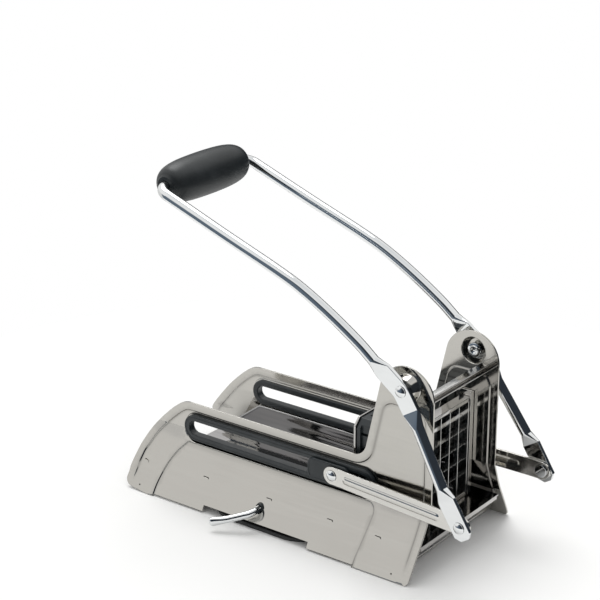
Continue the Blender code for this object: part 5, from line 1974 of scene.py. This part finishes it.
@dataclass
class Trough:
    """Folded sheet that carries the food, with slanted rear corners and a rolled hem round its edge."""

    layout: Layout
    inner_y: float = 0.0370
    thick: float = 0.0008
    top_z: float = 0.0419
    fold_radius: float = 0.0022
    fold_steps: int = 8
    rear_top: float = -0.1855
    rear_foot: float = -0.2080
    foot_rise: float = 0.0016
    foot_radius: float = 0.0030
    corner_radius: float = 0.0060
    corner_steps: int = 12
    front: float = -0.0092
    hem_radius: float = 0.0010
    hem_steps: int = 8
    slant_stretch: float = 2.0
    columns: int = 24
    row_step: float = 0.0008
    beyond: float = 0.05

    def outline(self, floor_z: float) -> Outline:
        """Side outline that the sheet is cut to, carried on past its front and its floor.

        Args:
            floor_z: Height of the middle of the floor's sheet.

        Returns:
            The closed outline in (X, Z).
        """
        lay = self.layout
        far_front = lay.ahead(self.front) + self.beyond
        foot = lay.ahead(self.rear_foot)
        corners = [
            (far_front, floor_z - self.beyond), (foot, floor_z - self.beyond),
            (foot, floor_z + self.foot_rise), (lay.ahead(self.rear_top), self.top_z),
            (far_front, self.top_z),
        ]
        return rounded(corners, (0.0, 0.0, self.foot_radius, self.corner_radius, 0.0), self.corner_steps)

    def hem(self) -> list[float]:
        """Distances from the edge, close together where the hem curves."""
        turns = [math.pi * step / self.hem_steps for step in range(self.hem_steps + 1)]
        return [self.hem_radius * (1.0 - math.cos(turn)) for turn in turns]

    def half_thickness(self, depth: np.ndarray) -> np.ndarray:
        """Half the thickness of the sheet with its hem.

        Args:
            depth: Distances inwards from the edge.

        Returns:
            Half thicknesses.
        """
        radius = self.hem_radius
        bead = np.sqrt(np.maximum(radius ** 2 - (depth - radius) ** 2, 0.0))
        return np.where(depth < radius, bead, np.maximum(bead, self.thick / 2))

    def stations(self, floor_z: float) -> np.ndarray:
        """Places across the sheet, from the near top edge round the floor to the far one.

        Args:
            floor_z: Height of the middle of the floor's sheet.

        Returns:
            Rows of Y, Z and the outward direction in (Y, Z).
        """
        half = self.inner_y + self.thick / 2
        radius = self.fold_radius + self.thick / 2
        bend_z = floor_z + radius
        drops = self.hem()
        drops += list(np.arange(drops[-1] + self.row_step, self.top_z - bend_z, self.row_step))
        rows = [(half, self.top_z - drop, 1.0, 0.0) for drop in drops]
        for step in range(self.fold_steps + 1):
            angle = SQUARE_TURN * step / self.fold_steps
            out = (math.cos(angle), -math.sin(angle))
            rows.append((half - radius + radius * out[0], bend_z + radius * out[1], *out))
        near = [(-y, z, -out_y, out_z) for y, z, out_y, out_z in rows]
        return np.array(near + rows[::-1])

    def build(self, dresser: Dresser) -> None:
        """Make and dress the trough.

        Args:
            dresser: Finishes and ties the pieces.
        """
        node = dresser.nodes["trough_liner"]
        floor_z = min(vert.co.z for vert in node.data.vertices) + self.thick / 2
        outline = self.outline(floor_z)
        past_corner = self.layout.ahead(self.rear_top) + self.corner_radius
        rear = np.array(sorted((z, x) for x, z in outline if x < past_corner))
        front = self.layout.ahead(self.front)
        hem = [self.slant_stretch * offset for offset in self.hem()]
        work = bmesh.new()
        inner: list[list[bmesh.types.BMVert]] = []
        outer: list[list[bmesh.types.BMVert]] = []
        for y, z, out_y, out_z in self.stations(floor_z):
            start = float(np.interp(z, rear[:, 0], rear[:, 1]))
            coarse = np.linspace(start + hem[-1], front, self.columns)
            places = np.array([start + offset for offset in hem[:-1]] + list(coarse))
            spots = np.column_stack([places, np.full(len(places), z)])
            half = self.half_thickness(np.maximum(-signed_distance(spots, outline), 0.0))
            most = self.thick / 2 + (self.hem_radius - self.thick / 2) * abs(out_y)
            for sheet, turn in ((inner, -1.0), (outer, 1.0)):
                sizes = turn * np.minimum(half, most)
                sheet.append([work.verts.new((x, y + out_y * size, z + out_z * size))
                              for x, size in zip(places, sizes)])
        for one, two in [*zip(inner, inner[1:]), *zip(outer, outer[1:])]:
            for column in range(len(one) - 1):
                work.faces.new((one[column], one[column + 1], two[column + 1], two[column]))
        for row in range(len(inner) - 1):
            work.faces.new((inner[row][-1], inner[row + 1][-1], outer[row + 1][-1], outer[row][-1]))
        made = smoothed(mesh_object("trough_piece", tidied(work)))
        dresser.dress(made, TROUGH_STEEL, Rides.BODY, "trough_liner")


@dataclass
class InnerParts:
    """Tray, cross members, guides, blade cartridge, pusher and clamp, softened from their nodes."""

    layout: Layout
    blade_count: int = 5
    tab_reach: float = 0.0503

    def build(self, dresser: Dresser) -> None:
        """Make and dress the pieces.

        Args:
            dresser: Finishes and ties the pieces.
        """
        soft = dresser.softened
        soft("floor_tray", TRAY_STEEL, Rides.BODY, width=0.0002, reach=self.tab_reach)
        soft("tie_bar", TRAY_STEEL, Rides.BODY, width=0.0003)
        for end in ("front", "rear"):
            soft(f"cross_rod_{end}", ROD_STEEL, Rides.BODY, width=0.0004)
        for side in Side:
            soft(f"cartridge_guide_{side.label}", TRAY_STEEL, Rides.BODY, width=0.00015)
        soft("blade_frame", TRAY_STEEL, Rides.CARTRIDGE, width=0.0004)
        for index in range(1, self.blade_count + 1):
            soft(f"blade_vertical_{index}", BLADE_STEEL, Rides.CARTRIDGE, width=0.0002)
            soft(f"blade_horizontal_{index}", BLADE_STEEL, Rides.CARTRIDGE, width=0.0002)
        soft("pusher_plate", TRAY_STEEL, Rides.PUSHER, width=0.0003)
        soft("pusher_block", BLUE_BLACK, Rides.PUSHER, width=0.0004)
        soft("suction_housing", BLUE_BLACK, Rides.BODY, width=0.0005)
        soft("suction_pad", PAD_RUBBER, Rides.BODY, width=0.0006, angle=25.0)
        soft("suction_stem", ROD_STEEL, Rides.BODY, width=0.0003)
        soft("suction_cam", ROD_STEEL, Rides.CLAMP, width=0.0003)


@dataclass
class ClampLever:
    """Slim chromed rod under the near wall, bent to the rear, with a slightly flattened tip."""

    axis_z: float = 0.0150
    rod: float = 0.0026
    inner_end: float = 0.0210
    tip_length: float = 0.0110
    tip_breadth: float = 0.0033
    tip_thick: float = 0.0020
    tip_rest: float = 0.002
    tip_steps: int = 7
    collar: Sequence[Point] = (
        (-0.0540, 0.0034), (-0.0567, 0.0034), (-0.0571, 0.0033), (-0.0573, 0.0031),
        (-0.0571, 0.0029), (-0.0540, 0.0028),
    )
    route: Sequence[tuple[float, float, float]] = (
        (0.0, -0.0500, 0.0150), (-0.0001, -0.0590, 0.0149), (-0.0008, -0.0631, 0.0143),
        (-0.0029, -0.0666, 0.0132), (-0.0065, -0.0692, 0.0119), (-0.0150, -0.0750, 0.0091),
        (-0.0253, -0.0821, 0.0064),
    )
    route_steps: int = 6
    steps: int = 20
    sharp_angle: float = 50.0

    def centres(self) -> list[Vector]:
        """Centre line from the end inside the housing to the tip.

        Returns:
            Points in order.
        """
        points = [Vector(point) for point in self.route]
        padded = [points[0] * 2 - points[1], *points, points[-1] * 2 - points[-2]]
        line = [Vector((0.0, self.inner_end, self.axis_z))]
        for index in range(len(points) - 1):
            corners = padded[index : index + 4]
            line.extend(on_curve(corners, step / self.route_steps) for step in range(self.route_steps))
        return line

    def build(self, dresser: Dresser) -> None:
        """Make and dress the lever.

        Args:
            dresser: Finishes and ties the pieces.
        """
        line = self.centres()
        tip = Vector(self.route[-1])
        rings = []
        run = Vector((0.0, -1.0, 0.0))
        for index, centre in enumerate(line):
            if index > 0:
                onward = line[index + 1] if index + 1 < len(line) else tip
                run = (onward - line[index - 1]).normalized()
            share = float(eased(1.0 - ((tip - centre).length - self.tip_rest) / self.tip_length))
            breadth = self.rod + (self.tip_breadth - self.rod) * share
            thick = self.rod + (self.tip_thick - self.rod) * share
            rings.append(self.ring(centre, run, breadth, thick))
        for step in range(1, self.tip_steps):
            angle = SQUARE_TURN * step / self.tip_steps
            centre = line[-1] + (tip - line[-1]) * math.sin(angle)
            narrowed = math.cos(angle)
            rings.append(self.ring(centre, run, self.tip_breadth * narrowed, self.tip_thick * narrowed))
        work = bmesh.new()
        add_loft(work, rings)
        made = smoothed(mesh_object("clamp_rod", tidied(work)), self.sharp_angle)
        dresser.dress(made, BRIGHT_CHROME, Rides.CLAMP, "suction_lever")
        collar = turned("clamp_collar", self.collar, Vector((0.0, 0.0, self.axis_z)), 40)
        dresser.dress(collar, BLUE_BLACK, Rides.BODY, "suction_bushing")

    def ring(self, centre: Vector, run: Vector, breadth: float, thick: float) -> list[Vector]:
        """Oval section across the rod.

        Args:
            centre: Its middle.
            run: Direction of the rod.
            breadth: Half breadth, upwards.
            thick: Half thickness, sideways.

        Returns:
            The section's points.
        """
        side = run.cross(Vector((0.0, 0.0, 1.0))).normalized()
        up = side.cross(run).normalized()
        turns = [2 * math.pi * step / self.steps for step in range(self.steps)]
        return [centre + side * (thick * math.cos(turn)) + up * (breadth * math.sin(turn))
                for turn in turns]


# Floor, light and camera


@dataclass
class Studio:
    """Camera at the photograph's angle, a pale floor and soft light.

    The room that polished metal mirrors is dark near the table, lighter far to the left, and white
    above an edge that rises towards the front and behind. Ranges are those of a direction's parts.
    """

    azimuth: float = math.radians(36.9)
    elevation: float = math.radians(20.44)
    distance: float = 1.264
    target: tuple[float, float, float] = (-0.00699, 0.0, 0.15277)
    lens: float = 108.0
    sensor: float = 36.0
    clip_start: float = 0.01
    floor_radius: float = 0.42
    paint_dark: Colour = (0.93, 0.93, 0.92)
    paint_light: Colour = (0.96, 0.96, 0.95)
    fill: float = 0.68
    sun: float = 1.55
    sun_from: tuple[float, float, float] = (-0.42, 0.28, 1.0)
    sun_width: float = math.radians(42.0)
    sky_left: float = 0.06
    sky_right: float = 0.64
    sky_behind: float = 0.28
    sky_soft: float = 0.10
    sky_colour: Colour = (1.0, 0.995, 0.985)
    zenith_colour: Colour = (0.86, 0.87, 0.88)
    zenith_range: Point = (0.75, 1.0)
    room_colour: Colour = (0.13, 0.165, 0.21)
    dark_colour: Colour = (0.03, 0.036, 0.045)
    dark_toward: Point = (0.8, 0.6)
    dark_range: Point = (-0.85, -0.35)
    beside_colour: Colour = (0.80, 0.80, 0.79)
    beside_range: Point = (-0.85, -0.70)
    front_toward: Point = (0.85, -0.53)
    front_range: Point = (0.0, 0.32)
    behind_range: Point = (0.4, 0.8)

    def camera(self) -> None:
        """Place the camera."""
        data = bpy.data.cameras.new("camera")
        data.lens = self.lens
        data.sensor_width = self.sensor
        data.clip_start = self.clip_start
        made = bpy.data.objects.new("camera", data)
        bpy.context.scene.collection.objects.link(made)
        flat = math.cos(self.elevation)
        x, y = math.sin(self.azimuth) * flat, -math.cos(self.azimuth) * flat
        toward = Vector((x, y, math.sin(self.elevation)))
        made.location = Vector(self.target) + toward * self.distance
        made.rotation_euler = (-toward).to_track_quat("-Z", "Y").to_euler()
        bpy.context.scene.camera = made

    def floor(self) -> None:
        """Lay a round pale floor that keeps the object's shadow."""
        work = bmesh.new()
        bmesh.ops.create_circle(work, cap_ends=True, segments=96, radius=self.floor_radius)
        made = mesh_object("floor", work)
        material, draw, shader = bare_material("floor_paint")
        grain = placed_group(draw, self.paint_group())
        paint = draw.mixed(grain.outputs["Tone"], (*self.paint_dark, 1.0), (*self.paint_light, 1.0))
        draw.feed(shader.inputs["Base Color"], paint)
        shader.inputs["Roughness"].default_value = 0.9
        shader.inputs["Specular IOR Level"].default_value = 0.0
        made.data.materials.append(material)

    @staticmethod
    def paint_group() -> bpy.types.NodeTree:
        """Faint unevenness of the floor's paint.

        Returns:
            The group.
        """
        tree = new_group("floor_grain", [("Scale", 6.0)], ["Tone"])
        draw = Sketch(tree)
        given = tree.nodes.new("NodeGroupInput")
        noise = draw.node("ShaderNodeTexNoise", Vector=given.outputs["Vector"],
                          Scale=given.outputs["Scale"])
        leave = tree.nodes.new("NodeGroupOutput")
        draw.feed(leave.inputs["Tone"], noise.outputs["Fac"])
        return tree

    @staticmethod
    def leaning(draw: Sketch, parts: bpy.types.Node, toward: Point) -> bpy.types.NodeSocket:
        """How far a direction leans towards a level heading.

        Args:
            draw: The tree.
            parts: Node with the direction's X and Y.
            toward: The heading in (X, Y).

        Returns:
            The value.
        """
        x, y = (draw.maths("MULTIPLY", parts.outputs[axis], size) for axis, size in zip("XY", toward))
        return draw.maths("ADD", x, y)

    def world(self) -> None:
        """Pale light from above, with the darker room that shows past the table in polished metal."""
        world = bpy.data.worlds.new("surroundings")
        world.use_nodes = True
        bpy.context.scene.world = world
        draw = Sketch(world.node_tree)
        world.node_tree.nodes.clear()
        place = world.node_tree.nodes.new("ShaderNodeTexCoord")
        parts = draw.node("ShaderNodeSeparateXYZ", Vector=place.outputs["Generated"])
        right = draw.ranged(self.leaning(draw, parts, self.dark_toward), self.dark_range)
        room = draw.mixed(right, (*self.room_colour, 1.0), (*self.dark_colour, 1.0))
        beside = draw.ranged(parts.outputs["X"], self.beside_range, (1.0, 0.0))
        low = draw.mixed(beside, room, (*self.beside_colour, 1.0))
        high = draw.ranged(parts.outputs["Z"], self.zenith_range)
        sky = draw.mixed(high, (*self.sky_colour, 1.0), (*self.zenith_colour, 1.0))
        forward = self.leaning(draw, parts, self.front_toward)
        front = draw.ranged(forward, self.front_range, (self.sky_left, self.sky_right))
        behind = draw.ranged(parts.outputs["Y"], self.behind_range, (0.0, self.sky_behind))
        edge = draw.maths("ADD", front, behind)
        above = draw.maths("DIVIDE", draw.maths("SUBTRACT", parts.outputs["Z"], edge), self.sky_soft)
        overhead = draw.ranged(above, (0.0, 1.0))
        seen = draw.mixed(overhead, low, sky)
        path = world.node_tree.nodes.new("ShaderNodeLightPath")
        glossy = draw.mixed(path.outputs["Is Glossy Ray"], (self.fill, self.fill, self.fill, 1.0), seen)
        white = draw.maths("MAXIMUM", path.outputs["Is Camera Ray"], path.outputs["Is Transmission Ray"])
        colour = draw.mixed(white, glossy, (1.0, 1.0, 1.0, 1.0))
        shade = draw.node("ShaderNodeBackground", Color=colour, Strength=1.0)
        leave = world.node_tree.nodes.new("ShaderNodeOutputWorld")
        draw.feed(leave.inputs["Surface"], shade.outputs["Background"])

    def lamp(self) -> None:
        """Hang the one broad lamp, whose light comes from above and behind the left."""
        data = bpy.data.lights.new("key_lamp", "SUN")
        data.angle = self.sun_width
        data.energy = self.sun
        made = bpy.data.objects.new("key_lamp", data)
        bpy.context.scene.collection.objects.link(made)
        made.location = self.sun_from
        made.rotation_euler = (-Vector(self.sun_from)).to_track_quat("-Z", "Y").to_euler()

    def build(self) -> None:
        """Set up the floor, the surroundings, the lamp, the camera and the view."""
        self.floor()
        self.world()
        self.lamp()
        self.camera()
        bpy.context.scene.view_settings.view_transform = "Standard"


def main() -> None:
    """Load the frame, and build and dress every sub-assembly."""
    logging.basicConfig(level=logging.INFO, format="%(message)s")
    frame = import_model()
    layout = Layout()
    dresser = Dresser(frame)
    Studio().build()
    StampedWalls(layout).build(dresser)
    SlotLiners(layout).build(dresser)
    Shoes(layout).build(dresser)
    LinkBars(layout).build(dresser)
    LeverBail(layout).build(dresser)
    Grip(layout).build(dresser)
    Rivets(layout).build(dresser)
    InnerParts(layout).build(dresser)
    Trough(layout).build(dresser)
    ClampLever().build(dresser)


if __name__ == "__main__":
    main()
